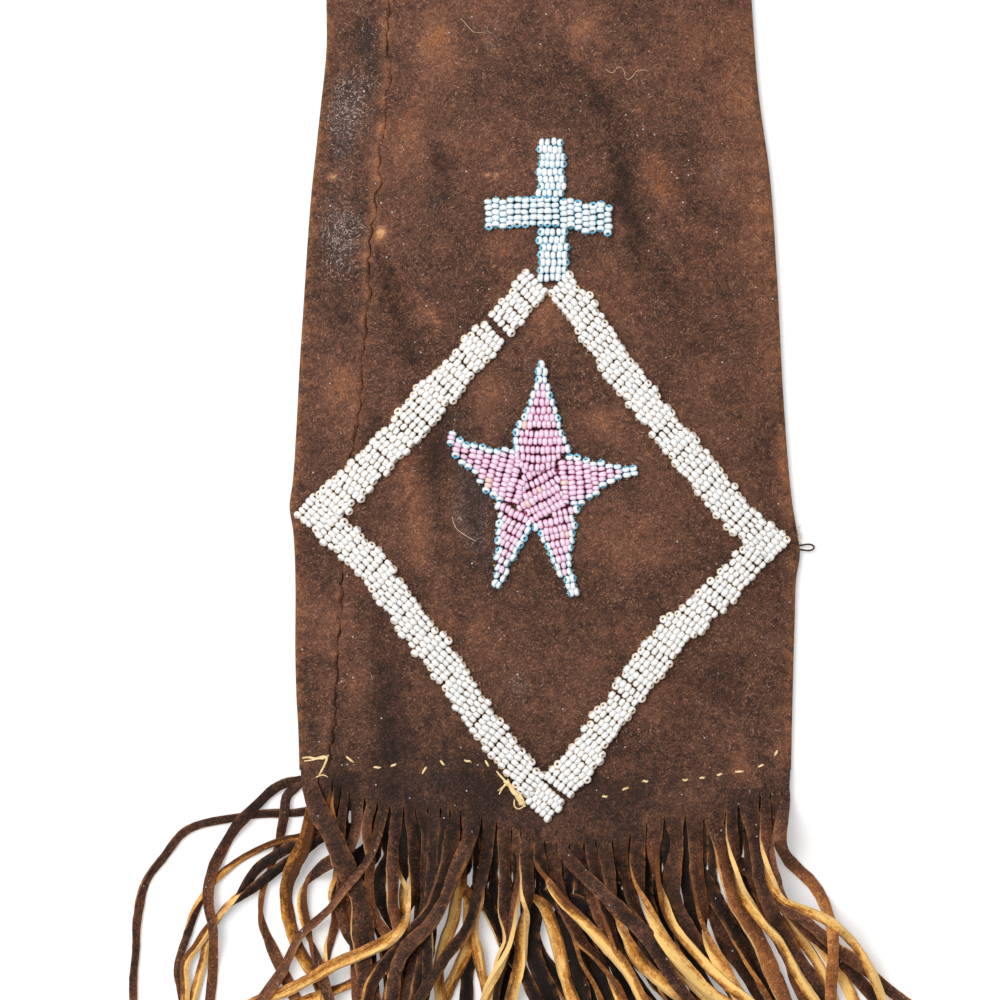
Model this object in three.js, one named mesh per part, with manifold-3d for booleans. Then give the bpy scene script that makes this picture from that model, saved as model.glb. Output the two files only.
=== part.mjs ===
import * as THREE from 'three';
import Module from 'manifold-3d';

const wasm = await Module();
wasm.setup();

// The bag lies on its back: X to the right, Y towards the mouth, Z up. Millimetres.
// Y is zero at the stitches that close the bottom.

// Hide and pocket
const hideThickness = 1.4;
const layerGap = 0.5;
const bodyLength = 313;
const bottomWidth = 135.2;
const bellyWidth = 138.6;
const bellyHeight = 60;
const waistWidth = 130;
const waistHeight = 132;
const shoulderWidth = 117.6;
const shoulderHeight = 213;
const mouthWidth = 113;
const mouthShift = -2;
const puff = 7.6;
const puffLength = 75;
const puffPower = 2.6;
const pouchFoot = 1;
const pocketFoot = 5;
const edgeRoll = 1.1;

// Side seam, measured in from the left fold
const seamInsetBottom = 8.4;
const seamInsetMiddle = 17;
const seamInsetMouth = 15.5;
const seamGroove = 0.6;
const seamRidge = 0.45;
const seamHalf = 1.7;

// Hem and fringe
const hemDepthMiddle = 18;
const hemDepthSide = 4;
const fringeLength = 138;
const stripTaper = 0.8;
const stripTurn = 0.6;

// Beads
const clearance = 0.3;
const beadSize = 2.1;
const beadValley = 1.15;
const beadCrest = 1.9;
const laneWidth = 9.4;

// Sinew and wire
const stitchRadius = 0.4;
const threadRadius = 0.45;
const wireRadius = 0.4;

// Heights of the two layers where they lie flat on each other
const frontFloor = hideThickness + layerGap;
const layerTop = frontFloor + hideThickness;

// Drawn positions across follow the width of the bag
const spread = bottomWidth / 135.2;

function smooth(value, start, end) {
  return THREE.MathUtils.smoothstep(value, start, end);
}

function curveThrough(heights, values) {
  const curve = new THREE.CubicInterpolant(heights, values, 1);
  return (height) => curve.evaluate(THREE.MathUtils.clamp(height, heights[0], heights.at(-1)))[0];
}

const halfWidth = curveThrough(
  [-20, 0, bellyHeight, waistHeight, shoulderHeight, bodyLength],
  [bottomWidth, bottomWidth, bellyWidth, waistWidth, shoulderWidth, mouthWidth].map((width) => width / 2),
);
const seamInset = curveThrough(
  [-20, 0, bellyHeight, waistHeight, bodyLength],
  [seamInsetBottom, seamInsetBottom, 13.5, seamInsetMiddle, seamInsetMouth],
);

function middle(y) {
  return mouthShift * smooth(y, bellyHeight, bodyLength);
}

function leftEdge(y) {
  return middle(y) - halfWidth(y);
}

function rightEdge(y) {
  return middle(y) + halfWidth(y);
}

// Soft creases in the front wall: two ends, half width and depth
const creases = [
  { from: [19, 183], to: [33, 139], width: 8, depth: 0.8 },
  { from: [40, 136], to: [48, 117], width: 7, depth: 0.6 },
  { from: [-40, 131], to: [-29, 117], width: 8, depth: 0.7 },
  { from: [-32, 81], to: [-21, 43], width: 9, depth: 0.7 },
];

function creaseDepth(x, y) {
  let depth = 0;
  for (const crease of creases) {
    const from = new THREE.Vector3(...crease.from, 0);
    const to = new THREE.Vector3(...crease.to, 0);
    const place = new THREE.Vector3(x, y, 0);
    const near = new THREE.Line3(from, to).closestPointToPoint(place, true, new THREE.Vector3());
    const distance = near.distanceTo(place) / crease.width;
    depth += crease.depth * Math.exp(-distance * distance);
  }
  return depth;
}

// Height of the front wall above the ground
function frontTop(x, y) {
  const side = Math.min(1, Math.abs((x - middle(y)) / halfWidth(y)));
  const lift = smooth(y, 0, puffLength);
  const dome = puff * (1 - side ** puffPower);
  return layerTop + lift * (dome - creaseDepth(x, y) * (1 - side ** 4));
}

function toSolid(positions, triangles) {
  const mesh = new wasm.Mesh({
    numProp: 3,
    vertProperties: new Float32Array(positions),
    triVerts: new Uint32Array(triangles),
  });
  mesh.merge();
  const solid = new wasm.Manifold(mesh);
  return solid;
}

// A closed body through a row of rings, each ring with the same number of points
function loft(rings) {
  const count = rings[0].length;
  const positions = rings.flat().flatMap((point) => point.toArray());
  const triangles = [];
  for (let i = 0; i + 1 < rings.length; i++) {
    for (let j = 0; j < count; j++) {
      const next = (j + 1) % count;
      const a = i * count + j;
      const b = i * count + next;
      triangles.push(a, b, b + count);
      triangles.push(a, b + count, a + count);
    }
  }
  for (const end of [0, rings.length - 1]) {
    const ring = rings[end];
    const normal = new THREE.Vector3();
    for (let j = 0; j < count; j++) {
      normal.add(new THREE.Vector3().crossVectors(ring[j], ring[(j + 1) % count]));
    }
    const turn = new THREE.Quaternion().setFromUnitVectors(normal.normalize(), new THREE.Vector3(0, 0, 1));
    const flat = ring.map((point) => point.clone().applyQuaternion(turn));
    const faces = THREE.ShapeUtils.triangulateShape(flat.map((p) => new THREE.Vector2(p.x, p.y)), []);
    for (const [a, b, c] of faces) {
      const start = end * count;
      if (end === 0) {
        triangles.push(start + c, start + b, start + a);
      } else {
        triangles.push(start + a, start + b, start + c);
      }
    }
  }
  const facing = new THREE.Vector3();
  let volume = 0;
  for (let i = 0; i < triangles.length; i += 3) {
    const [a, b, c] = [0, 1, 2].map((k) => new THREE.Vector3().fromArray(positions, triangles[i + k] * 3));
    volume += facing.crossVectors(a, b).dot(c);
  }
  return toSolid(positions, volume < 0 ? triangles.reverse() : triangles);
}

function geometrySolid(geometry) {
  const bare = geometry.index ? geometry.toNonIndexed() : geometry;
  const positions = Array.from(bare.attributes.position.array);
  return toSolid(positions, positions.slice(0, positions.length / 3).map((value, index) => index));
}

const bag = new THREE.Group();
bag.name = 'beaded_pipe_bag';

function addPiece(name, solid, colour, roughness) {
  const mesh = solid.getMesh();
  const geometry = new THREE.BufferGeometry();
  geometry.setAttribute('position', new THREE.BufferAttribute(new Float32Array(mesh.vertProperties), 3));
  geometry.setIndex(Array.from(mesh.triVerts));
  geometry.computeVertexNormals();
  const piece = new THREE.Mesh(geometry, new THREE.MeshStandardMaterial({ color: colour, roughness }));
  piece.name = name;
  bag.add(piece);
}

const hideColour = 0x4b342a;
const whiteColour = 0xf6f2ea;
const pinkColour = 0xdc9cc0;
const blueColour = 0xbfe2f0;
const sinewColour = 0xe6c68c;
const wireColour = 0x2b2624;

// Pouch: the tube of hide, seam on the front, pocket open at the mouth
function pouchRing(y) {
  const left = leftEdge(y);
  const right = rightEdge(y);
  const seam = left + seamInset(y);
  const ring = [new THREE.Vector3(left, y, layerTop / 2)];
  for (let i = 0; i <= 6; i++) {
    ring.push(new THREE.Vector3(THREE.MathUtils.lerp(left + edgeRoll, right - edgeRoll, i / 6), y, 0));
  }
  ring.push(new THREE.Vector3(right, y, layerTop / 2));
  for (let i = 0; i <= 12; i++) {
    const x = THREE.MathUtils.lerp(right - edgeRoll, seam + seamHalf, i / 12);
    ring.push(new THREE.Vector3(x, y, frontTop(x, y)));
  }
  const ridges = [[seamHalf / 2, seamRidge], [0, -seamGroove], [-seamHalf / 2, seamRidge], [-seamHalf, 0]];
  for (const [offset, height] of ridges) {
    ring.push(new THREE.Vector3(seam + offset, y, frontTop(seam + offset, y) + height));
  }
  const shoulder = (left + edgeRoll + seam - seamHalf) / 2;
  ring.push(new THREE.Vector3(shoulder, y, frontTop(shoulder, y)));
  ring.push(new THREE.Vector3(left + edgeRoll, y, frontTop(left + edgeRoll, y)));
  return ring;
}

function pocketRing(y, reach) {
  const left = leftEdge(y) + edgeRoll + hideThickness;
  const right = rightEdge(y) - edgeRoll - hideThickness;
  const ring = [];
  for (let i = 0; i <= 4; i++) {
    ring.push(new THREE.Vector3(THREE.MathUtils.lerp(left, right, i / 4), reach, hideThickness));
  }
  for (let i = 0; i <= 12; i++) {
    const x = THREE.MathUtils.lerp(right, left, i / 12);
    ring.push(new THREE.Vector3(x, reach, frontTop(x, y) - hideThickness));
  }
  return ring;
}

const pouchRings = [];
const pouchSteps = 19;
for (let i = 0; i <= pouchSteps; i++) {
  pouchRings.push(pouchRing(THREE.MathUtils.lerp(pouchFoot, bodyLength, i / pouchSteps)));
}
const pocketRings = [];
const pocketSteps = 12;
for (let i = 0; i <= pocketSteps; i++) {
  const y = THREE.MathUtils.lerp(pocketFoot, bodyLength, i / pocketSteps);
  pocketRings.push(pocketRing(y, i < pocketSteps ? y : y + hideThickness));
}
addPiece('hide_pouch', loft(pouchRings).subtract(loft(pocketRings)), hideColour, 0.9);

// Fringe: each layer's hem runs past the stitches and is slit into strips
function slitHeight(x) {
  const side = Math.min(1, Math.abs(x) / (bottomWidth / 2));
  return -THREE.MathUtils.lerp(hemDepthMiddle, hemDepthSide, side ** 1.3);
}

function hemBand(base) {
  const outline = new THREE.Shape();
  const top = pouchFoot - clearance;
  const steps = 12;
  outline.moveTo(leftEdge(0), top);
  for (let i = 0; i <= steps; i++) {
    const x = THREE.MathUtils.lerp(leftEdge(0), rightEdge(0), i / steps);
    outline.lineTo(x, slitHeight(x));
  }
  outline.lineTo(rightEdge(0), top);
  outline.closePath();
  const plate = new THREE.ExtrudeGeometry(outline, { depth: hideThickness, bevelEnabled: false });
  return geometrySolid(plate.translate(0, 0, base));
}

// Places along a strip: each point of its route, and one more between where it turns
function stations(curve) {
  const spans = curve.points.length - 1;
  const places = [0];
  for (let i = 1; i <= spans; i++) {
    const turn = curve.getTangent((i - 1) / spans).angleTo(curve.getTangent(i / spans));
    const cuts = Math.max(1, Math.ceil(turn / stripTurn));
    for (let k = 1; k <= cuts; k++) {
      places.push((i - 1 + k / cuts) / spans);
    }
  }
  return places;
}

// A flat strip along a route, cut plainly at its free end
function strip(points, width, base, thickness) {
  const route = points.map(([x, y]) => new THREE.Vector3(x * spread, y, 0));
  const last = route.at(-1);
  const heading = last.clone().sub(route.at(-2)).normalize();
  let drawn = 0;
  for (let i = 1; i < route.length; i++) {
    drawn += route[i].distanceTo(route[i - 1]);
  }
  const rest = Math.max(fringeLength - drawn, 20);
  const bend = heading.clone().add(new THREE.Vector3(0, -0.5, 0)).normalize();
  const middlePoint = last.clone().addScaledVector(heading, rest * 0.4);
  route.push(middlePoint, middlePoint.clone().addScaledVector(bend, rest * 0.6));
  const curve = new THREE.CatmullRomCurve3(route, false, 'centripetal');
  const rings = [];
  for (const part of stations(curve)) {
    const centre = curve.getPoint(part);
    const along = curve.getTangent(part);
    const half = width / 2 * THREE.MathUtils.lerp(1, stripTaper, part);
    const side = new THREE.Vector3(-along.y, along.x, 0).multiplyScalar(half);
    const right = centre.clone().sub(side).setZ(base);
    const left = centre.clone().add(side).setZ(base);
    rings.push([
      right,
      left,
      left.clone().setZ(base + thickness),
      right.clone().setZ(base + thickness),
    ]);
  }
  return loft(rings);
}

function fringe(base, routes) {
  return routes.reduce((hem, [width, ...points], index) => {
    const step = 0.04 * (1 + index % 4);
    return hem.add(strip(points, width, base + step, hideThickness - 0.1));
  }, hemBand(base));
}

// Strips of the front layer from left to right: width, then the route from the slit outwards
const frontStrips = [
  [2.5, [-65.5, -1], [-70.5, -1], [-76.5, -3.5], [-82, -10], [-89, -20], [-93, -31.5], [-92, -53.5], [-93, -62]],
  [5.5, [-61, -2], [-59.5, -11], [-53, -27.5], [-50, -44], [-47, -62]],
  [2.5, [-44, -7.5], [-46, -16.5], [-54, -30.5], [-67.5, -44.5], [-78, -62]],
  [3.3, [-42, -7.5], [-42.5, -27.5], [-41, -44], [-43.5, -62]],
  [3.3, [-37.5, -8], [-36.5, -27.5], [-37, -34.5], [-40.5, -42], [-49, -48], [-71, -59.5]],
  [3, [-33.5, -8], [-33, -27.5], [-35, -47], [-38, -62]],
  [3.9, [-25, -9], [-29, -29.5], [-38, -43.5], [-47.5, -56.5], [-49, -62]],
  [3.9, [-20.5, -10], [-25, -26.5], [-32.5, -40.5], [-41, -52.5], [-42.5, -62]],
  [3.3, [-15.5, -10.5], [-17.5, -29], [-23, -44], [-35, -62]],
  [2.5, [-11, -12], [-7, -25], [-9.5, -42.5], [-17.5, -62]],
  [4.1, [-5.5, -14], [-5.5, -34.5], [-9.5, -62]],
  [3.3, [-2, -15.5], [-1.5, -25], [3, -33.5], [17, -46], [27, -62]],
  [3.6, [1.5, -16], [5, -36], [15, -51.5], [20, -62]],
  [3.6, [5, -17], [7, -24.5], [21.5, -37], [32.5, -51.5], [39.5, -62]],
  [3.6, [15.5, -16], [18.5, -33.5], [26.5, -51.5], [38, -62]],
  [3.3, [20.5, -15], [24, -34.5], [34.5, -51.5], [46, -62]],
  [3.9, [25.5, -13], [26, -31.5], [36, -50], [48.5, -62]],
  [3.3, [30, -11.5], [31.5, -31.5], [40.5, -48], [56.5, -62]],
  [4.1, [36, -10], [35, -30.5], [42.5, -48], [56, -62]],
  [4.4, [41, -9.5], [42, -31.5], [47.5, -51.5], [53.5, -62]],
  [4.7, [47, -8.5], [50, -28.5], [59, -47.5], [66, -62]],
  [3, [51.5, -7], [53.5, -30.5], [65, -48], [74, -62]],
  [4.7, [56.5, -5], [59.5, -29], [67, -47.5], [76, -62]],
  [3, [61, -3.5], [61.5, -18], [63.5, -30], [78.5, -39.5], [88.5, -52.5], [93, -62]],
];

// Strips of the back layer
const backStrips = [
  [2.2, [-59.5, -2], [-61.5, -8.5], [-67.5, -10], [-91, -13], [-100.5, -16], [-111.5, -31.5], [-113.5, -51],
    [-114, -62]],
  [2.5, [-65, -2], [-69, -3.5], [-72, -6.5], [-72.5, -12.5], [-78, -29.5], [-78, -41], [-70, -60.5]],
  [2.2, [-57, -3], [-59.5, -12.5], [-64.5, -17], [-80, -20.5], [-95, -34.5], [-102, -53.5], [-100.5, -62]],
  [2.2, [-55, -3.5], [-58, -14], [-64.5, -18.5], [-79, -25.5], [-89, -37.5], [-97.5, -62]],
  [2.2, [-53, -4], [-56.5, -14], [-62.5, -19], [-84, -34], [-99.5, -53], [-99.5, -62]],
  [2.8, [-50.5, -5], [-55.5, -15], [-69.5, -26.5], [-73, -39.5], [-61.5, -62]],
  [3, [-48, -5.5], [-53.5, -18], [-66, -30.5], [-66, -44], [-59.5, -62]],
  [2.2, [-58.5, -2.5], [-57, -23.5], [-58.5, -41], [-61, -62]],
  [2.2, [-54, -3.5], [-56.5, -20.5], [-54, -44], [-48, -62]],
  [2.5, [-46, -6], [-49.5, -15], [-48.5, -31.5], [-42.5, -46], [-39, -62]],
  [2.5, [-43.5, -7], [-45, -30.5], [-39.5, -53.5], [-40.5, -62]],
  [2.8, [-39.5, -7.5], [-39, -34.5], [-44.5, -51.5], [-64.5, -62]],
  [3.3, [-29, -8.5], [-30.5, -31.5], [-34, -62]],
  [3.3, [-25, -9], [-21.5, -36], [-24, -53.5], [-28, -62]],
  [2.8, [-21.5, -9.5], [-23.5, -30.5], [-30, -55], [-29.5, -62]],
  [2.5, [-17, -10], [-20, -44], [-16.5, -62]],
  [3, [-19, -10], [-20, -23.5], [-13.5, -42.5], [-3, -62]],
  [3.6, [-12.5, -11.5], [-10, -44], [-14, -62]],
  [3.3, [-6.5, -13.5], [-0.5, -36], [7.5, -62]],
  [3.6, [10, -16], [14.5, -37], [28.5, -62]],
  [3, [14, -15], [17.5, -38], [34, -62]],
  [3.3, [23, -14], [22.5, -34], [31, -62]],
  [3, [29, -12], [28, -36], [43, -62]],
  [3.3, [33, -11], [33.5, -34], [45, -62]],
  [3, [39.5, -9.5], [39, -33], [50.5, -62]],
  [3, [43.5, -8.5], [45.5, -31.5], [61, -62]],
  [3.3, [53.5, -6], [61, -31.5], [72, -48], [79, -62]],
  [3.3, [58, -4.5], [62.5, -30.5], [76, -48], [85, -62]],
  [3.9, [62, -3.5], [64, -29.5], [79, -46.5], [97.5, -62]],
  [2.5, [65.5, -2], [65, -14], [71.5, -29], [78, -42.5], [78, -62]],
];

addPiece('fringe_front', fringe(frontFloor, frontStrips), hideColour, 0.9);
addPiece('fringe_back', fringe(0, backStrips), hideColour, 0.9);

// Beads are sewn on in rows. A lane is one band of rows between two edges, one ridge for each row.
function seat(left, right) {
  let height = 0;
  for (let i = 0; i <= 4; i++) {
    const place = left.clone().lerp(right, i / 4);
    height = Math.max(height, frontTop(place.x, place.y));
  }
  return height + clearance;
}

function laneRing(left, right, crest) {
  const base = seat(left, right);
  const inset = Math.min(0.25, 0.8 / left.distanceTo(right));
  const shoulders = [right.clone().lerp(left, inset), left.clone().lerp(right, inset)];
  return [
    new THREE.Vector3(left.x, left.y, base),
    new THREE.Vector3(right.x, right.y, base),
    ...shoulders.map((place) => new THREE.Vector3(place.x, place.y, base + crest)),
  ];
}

function lane(leftStart, leftEnd, rightStart, rightEnd) {
  const [a, b, c, d] = [leftStart, leftEnd, rightStart, rightEnd].map(([x, y]) => new THREE.Vector2(x * spread, y));
  const length = (a.distanceTo(b) + c.distanceTo(d)) / 2;
  const rows = Math.max(1, Math.round(length / beadSize));
  const rings = [];
  for (let i = 0; i <= rows * 2; i++) {
    const along = i / (rows * 2);
    const left = a.clone().lerp(b, along);
    const right = c.clone().lerp(d, along);
    rings.push(laneRing(left, right, i % 2 ? beadCrest : beadValley));
  }
  return loft(rings);
}

// Cross
const crossTop = 174.5;
const crossFoot = 136;
const crossMiddle = 1.5;
const crossHalf = 3.9;
const armTop = 158;
const armFoot = 148;
const armLeftEnd = -16.5;
const armRightEnd = 18.5;

addPiece(
  'cross_upright',
  lane(
    [crossMiddle - crossHalf, crossTop],
    [crossMiddle - crossHalf, crossFoot],
    [crossMiddle + crossHalf, crossTop],
    [crossMiddle + crossHalf, crossFoot],
  ),
  blueColour,
  0.25,
);
addPiece(
  'cross_arm_left',
  lane(
    [armLeftEnd, armFoot],
    [crossMiddle - crossHalf - clearance, armFoot],
    [armLeftEnd, armTop],
    [crossMiddle - crossHalf - clearance, armTop],
  ),
  blueColour,
  0.25,
);
addPiece(
  'cross_arm_right',
  lane(
    [armRightEnd, armTop],
    [crossMiddle + crossHalf + clearance, armTop],
    [armRightEnd, armFoot],
    [crossMiddle + crossHalf + clearance, armFoot],
  ),
  blueColour,
  0.25,
);

// Diamond band: outer and inner corners, with a bare gap high in the upper left side
const outer = { top: [0.5, 136.5], left: [-68, 72.5], right: [67, 64], bottom: [-1.5, -11.5] };
const inner = { top: [0.5, 128.5], left: [-54.5, 71.5], right: [54, 63.5], bottom: [0.5, 1] };
const gapStart = 0.19;
const gapEnd = 0.215;

function between(a, b, part) {
  return [THREE.MathUtils.lerp(a[0], b[0], part), THREE.MathUtils.lerp(a[1], b[1], part)];
}

// One side of the band between two corners, kept clear of the next side at each mitre
function diamondSide(name, start, end, from = 0, to = 1) {
  const trim = clearance / 60;
  const first = Math.max(from, trim);
  const last = Math.min(to, 1 - trim);
  addPiece(
    name,
    lane(
      between(outer[start], outer[end], first),
      between(outer[start], outer[end], last),
      between(inner[start], inner[end], first),
      between(inner[start], inner[end], last),
    ),
    whiteColour,
    0.25,
  );
}

const footTrim = 0.075;
diamondSide('diamond_upper_left_top', 'top', 'left', footTrim, gapStart);
diamondSide('diamond_upper_left', 'top', 'left', gapEnd);
diamondSide('diamond_upper_right', 'top', 'right', footTrim);
diamondSide('diamond_lower_left', 'left', 'bottom');
diamondSide('diamond_lower_right', 'right', 'bottom');

// Star: five tips and five notches between them
const tips = [[-1, 112.5], [-26, 93], [-12.5, 52.5], [8, 50.5], [24, 84]];
const notches = [[-9, 89.5], [-14, 75.5], [-3.5, 67.5], [8, 75], [6.5, 89]];
const edgeWidth = 1.7;
const edgePitch = 2.6;
const starHeart = new THREE.Vector2(-2.5 * spread, 80);

function starPoint([x, y]) {
  return new THREE.Vector2(x * spread, y);
}

// Moves an outline inwards by one width, corner by corner
function inset(outline, distance) {
  return outline.map((corner, index) => {
    const before = outline.at(index - 1);
    const after = outline[(index + 1) % outline.length];
    const intoCorner = corner.clone().sub(before).normalize();
    const outOfCorner = after.clone().sub(corner).normalize();
    const normal = new THREE.Vector2(-intoCorner.y - outOfCorner.y, intoCorner.x + outOfCorner.x);
    const stretch = distance / (normal.lengthSq() / 2);
    return corner.clone().addScaledVector(normal, stretch);
  });
}

const starOutline = tips.flatMap((tip, index) => [starPoint(tip), starPoint(notches[index])]);
const starField = inset(starOutline, edgeWidth + clearance);

function edging(outline) {
  const innerLine = inset(outline, edgeWidth);
  const rings = [];
  outline.forEach((corner, index) => {
    const next = (index + 1) % outline.length;
    const beads = Math.round(corner.distanceTo(outline[next]) / edgePitch);
    for (let i = 0; i < beads; i++) {
      const left = corner.clone().lerp(outline[next], i / beads);
      const right = innerLine[index].clone().lerp(innerLine[next], i / beads);
      rings.push(laneRing(left, right, i % 2 ? beadCrest : beadValley));
    }
  });
  const count = rings[0].length;
  const positions = rings.flat().flatMap((point) => point.toArray());
  const triangles = [];
  for (let i = 0; i < rings.length; i++) {
    const ahead = ((i + 1) % rings.length) * count;
    for (let j = 0; j < count; j++) {
      const next = (j + 1) % count;
      triangles.push(i * count + j, i * count + next, ahead + next);
      triangles.push(i * count + j, ahead + next, ahead + j);
    }
  }
  return toSolid(positions, triangles);
}

addPiece('star_edging', edging(starOutline), blueColour, 0.25);

const armTips = starField.filter((point, index) => index % 2 === 0);
const armRoots = starField.filter((point, index) => index % 2 === 1);
armTips.forEach((tip, index) => {
  const left = armRoots[index];
  const right = armRoots.at(index - 1);
  const base = left.clone().add(right).divideScalar(2);
  const outwards = tip.clone().sub(base).normalize();
  const tipSide = left.clone().sub(right).normalize().multiplyScalar(0.5);
  const end = tip.clone().addScaledVector(outwards, -beadSize);
  const unscaled = (point) => [point.x / spread, point.y];
  addPiece(
    `star_arm_${index + 1}`,
    lane(
      unscaled(left.clone().addScaledVector(outwards, clearance)),
      unscaled(end.clone().add(tipSide)),
      unscaled(right.clone().addScaledVector(outwards, clearance)),
      unscaled(end.clone().sub(tipSide)),
    ),
    pinkColour,
    0.25,
  );
});

// The centre is a field of slanting rows, cut to the pentagon between the arms
function starCentre() {
  const reach = 24;
  const rows = Math.round(reach / beadSize);
  const slope = THREE.MathUtils.degToRad(30);
  const across = new THREE.Vector2(Math.cos(slope), Math.sin(slope)).multiplyScalar(reach / 2);
  const up = new THREE.Vector2(-across.y, across.x);
  const rings = [];
  for (let i = 0; i <= rows * 2; i++) {
    const centre = starHeart.clone().addScaledVector(up, (i / rows) - 1);
    rings.push(laneRing(centre.clone().sub(across), centre.clone().add(across), i % 2 ? beadCrest : beadValley));
  }
  const pentagon = new THREE.Shape(armRoots.map((point) => point.clone()));
  const prism = new THREE.ExtrudeGeometry(pentagon, { depth: puff + layerTop + 10, bevelEnabled: false });
  return loft(rings).intersect(geometrySolid(prism));
}
addPiece('star_centre', starCentre(), pinkColour, 0.25);

// A round thread or wire along a route, pointed at both ends
function thread(points, radius, segments) {
  const curve = new THREE.CatmullRomCurve3(points, false, 'centripetal');
  const frames = curve.computeFrenetFrames(segments, false);
  const rings = [];
  for (let i = 0; i <= segments; i++) {
    const size = radius * (i === 0 || i === segments ? 0.6 : 1);
    const centre = curve.getPointAt(i / segments);
    rings.push([0, 1, 2, 3].map((k) => {
      const angle = k / 4 * Math.PI * 2;
      return centre.clone()
        .addScaledVector(frames.normals[i], Math.cos(angle) * size)
        .addScaledVector(frames.binormals[i], Math.sin(angle) * size);
    }));
  }
  return loft(rings);
}

// Hem stitches: centre across, height, length and slope in degrees
const stitches = [
  [-54, 4, 4, -40], [-46.5, 1.8, 3, -5], [-42, 2.4, 2.4, 25], [-33.5, 1, 3, 55], [-28.5, 3, 2.5, -45],
  [-21.5, 3.6, 3, -15], [-16.2, 2.8, 2.8, -60], [16.3, -6.2, 2.2, 10], [22, -4, 2.6, 20],
  [27.5, -2, 2.4, 10], [38.5, -1.6, 2.2, 5], [43.2, -1, 2.2, 5], [48, -0.2, 2.2, 5], [53.5, 0.6, 3.6, 0],
  [59.4, 2.2, 2.4, 15], [63.5, 5.8, 2.4, 60],
];
stitches.forEach(([x, y, length, slope], index) => {
  const turn = THREE.MathUtils.degToRad(slope);
  const reach = new THREE.Vector3(Math.cos(turn), Math.sin(turn), 0).multiplyScalar(length / 2);
  const centre = new THREE.Vector3(x * spread, y, 0);
  const ends = [centre.clone().sub(reach), centre, centre.clone().add(reach)];
  const base = Math.max(...ends.map((end) => frontTop(end.x, end.y))) + clearance + stitchRadius;
  ends.forEach((end) => end.setZ(base));
  const number = String(index + 1).padStart(2, '0');
  addPiece(`hem_stitch_${number}`, thread(ends, stitchRadius, 2), sinewColour, 0.8);
});

function laidThread(points, radius) {
  return points.map(([x, y]) => {
    const place = new THREE.Vector3(x * spread, y, 0);
    return place.setZ(frontTop(place.x, place.y) + clearance + radius + 0.1);
  });
}
const cornerRoute = laidThread([[-66, 4.6], [-62.5, 4.4], [-60.3, 5], [-61, 2.6], [-62.5, -0.4]], threadRadius);
addPiece('corner_thread', thread(cornerRoute, threadRadius, 8), sinewColour, 0.8);

// Knot beside the lowest corner of the diamond
const knot = new THREE.IcosahedronGeometry(1, 1);
knot.scale(1.5, 4, 1);
knot.rotateZ(THREE.MathUtils.degToRad(38));
const knotPlace = new THREE.Vector3(-11.4 * spread, -4.4, 0);
knot.translate(knotPlace.x, knotPlace.y, layerTop + clearance + 1);
addPiece('sinew_knot', geometrySolid(knot), sinewColour, 0.8);

// Sinew of the side seam, on the inside of the front wall
const seamRoute = [];
for (let i = 0; i <= 8; i++) {
  const y = THREE.MathUtils.lerp(bellyHeight, bodyLength - 4, i / 8);
  const x = leftEdge(y) + seamInset(y);
  seamRoute.push(new THREE.Vector3(x, y, frontTop(x, y) - hideThickness - clearance - 0.3 - threadRadius));
}
addPiece('seam_sinew', thread(seamRoute, threadRadius, 12), sinewColour, 0.8);

// Wire eye at the right fold
const eyeHeight = 62.5;
const eyeLength = 4.2;
const eyeHalf = 0.9;
const eyeStart = rightEdge(eyeHeight) + clearance + wireRadius;
const eyeRoute = [
  [0, -eyeHalf * 0.4],
  [eyeLength * 0.5, -eyeHalf],
  [eyeLength * 0.9, -eyeHalf * 0.6],
  [eyeLength, 0],
  [eyeLength * 0.9, eyeHalf * 0.6],
  [eyeLength * 0.5, eyeHalf],
  [0, eyeHalf * 0.6],
].map(([x, y]) => new THREE.Vector3(eyeStart + x, eyeHeight + y, layerTop / 2));
addPiece('wire_eye', thread(eyeRoute, wireRadius, 10), wireColour, 0.5);

export default bag;
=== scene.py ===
import bisect
import math
import random

import bpy
import numpy as np
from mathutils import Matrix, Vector, noise


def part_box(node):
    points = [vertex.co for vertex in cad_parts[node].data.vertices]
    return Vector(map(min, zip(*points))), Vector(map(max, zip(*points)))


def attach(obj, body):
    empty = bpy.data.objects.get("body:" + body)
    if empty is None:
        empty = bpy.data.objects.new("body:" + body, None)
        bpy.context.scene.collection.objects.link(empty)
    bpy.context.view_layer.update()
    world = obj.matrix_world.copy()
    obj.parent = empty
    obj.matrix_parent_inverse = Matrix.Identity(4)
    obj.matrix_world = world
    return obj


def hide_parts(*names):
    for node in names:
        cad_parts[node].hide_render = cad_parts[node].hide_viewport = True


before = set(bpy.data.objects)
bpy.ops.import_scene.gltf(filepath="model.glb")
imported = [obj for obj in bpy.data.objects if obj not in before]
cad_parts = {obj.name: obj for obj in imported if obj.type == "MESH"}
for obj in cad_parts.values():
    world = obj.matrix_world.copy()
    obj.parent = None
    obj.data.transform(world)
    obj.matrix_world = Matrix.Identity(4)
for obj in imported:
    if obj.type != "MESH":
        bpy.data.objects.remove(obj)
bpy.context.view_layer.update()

# Places and sizes are in millimetres: X to the right, Y towards the mouth, Z up off the ground.
mm = 0.001
rng = random.Random(17)
hideAngle = math.radians(50)  # edges sharper than this stay sharp
threadAngle = math.radians(60)


# Small tools

def smoothStep(value, start, end):
    part = min(1.0, max(0.0, (value - start) / (end - start)))
    return part * part * (3 - 2 * part)


def mix(a, b, part):
    return a + (b - a) * part


def ripple(x, y, z):
    return noise.noise(Vector((x, y, z)))


def either(reach):
    # a chance amount up to a reach either way
    return rng.uniform(-reach, reach)


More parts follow.
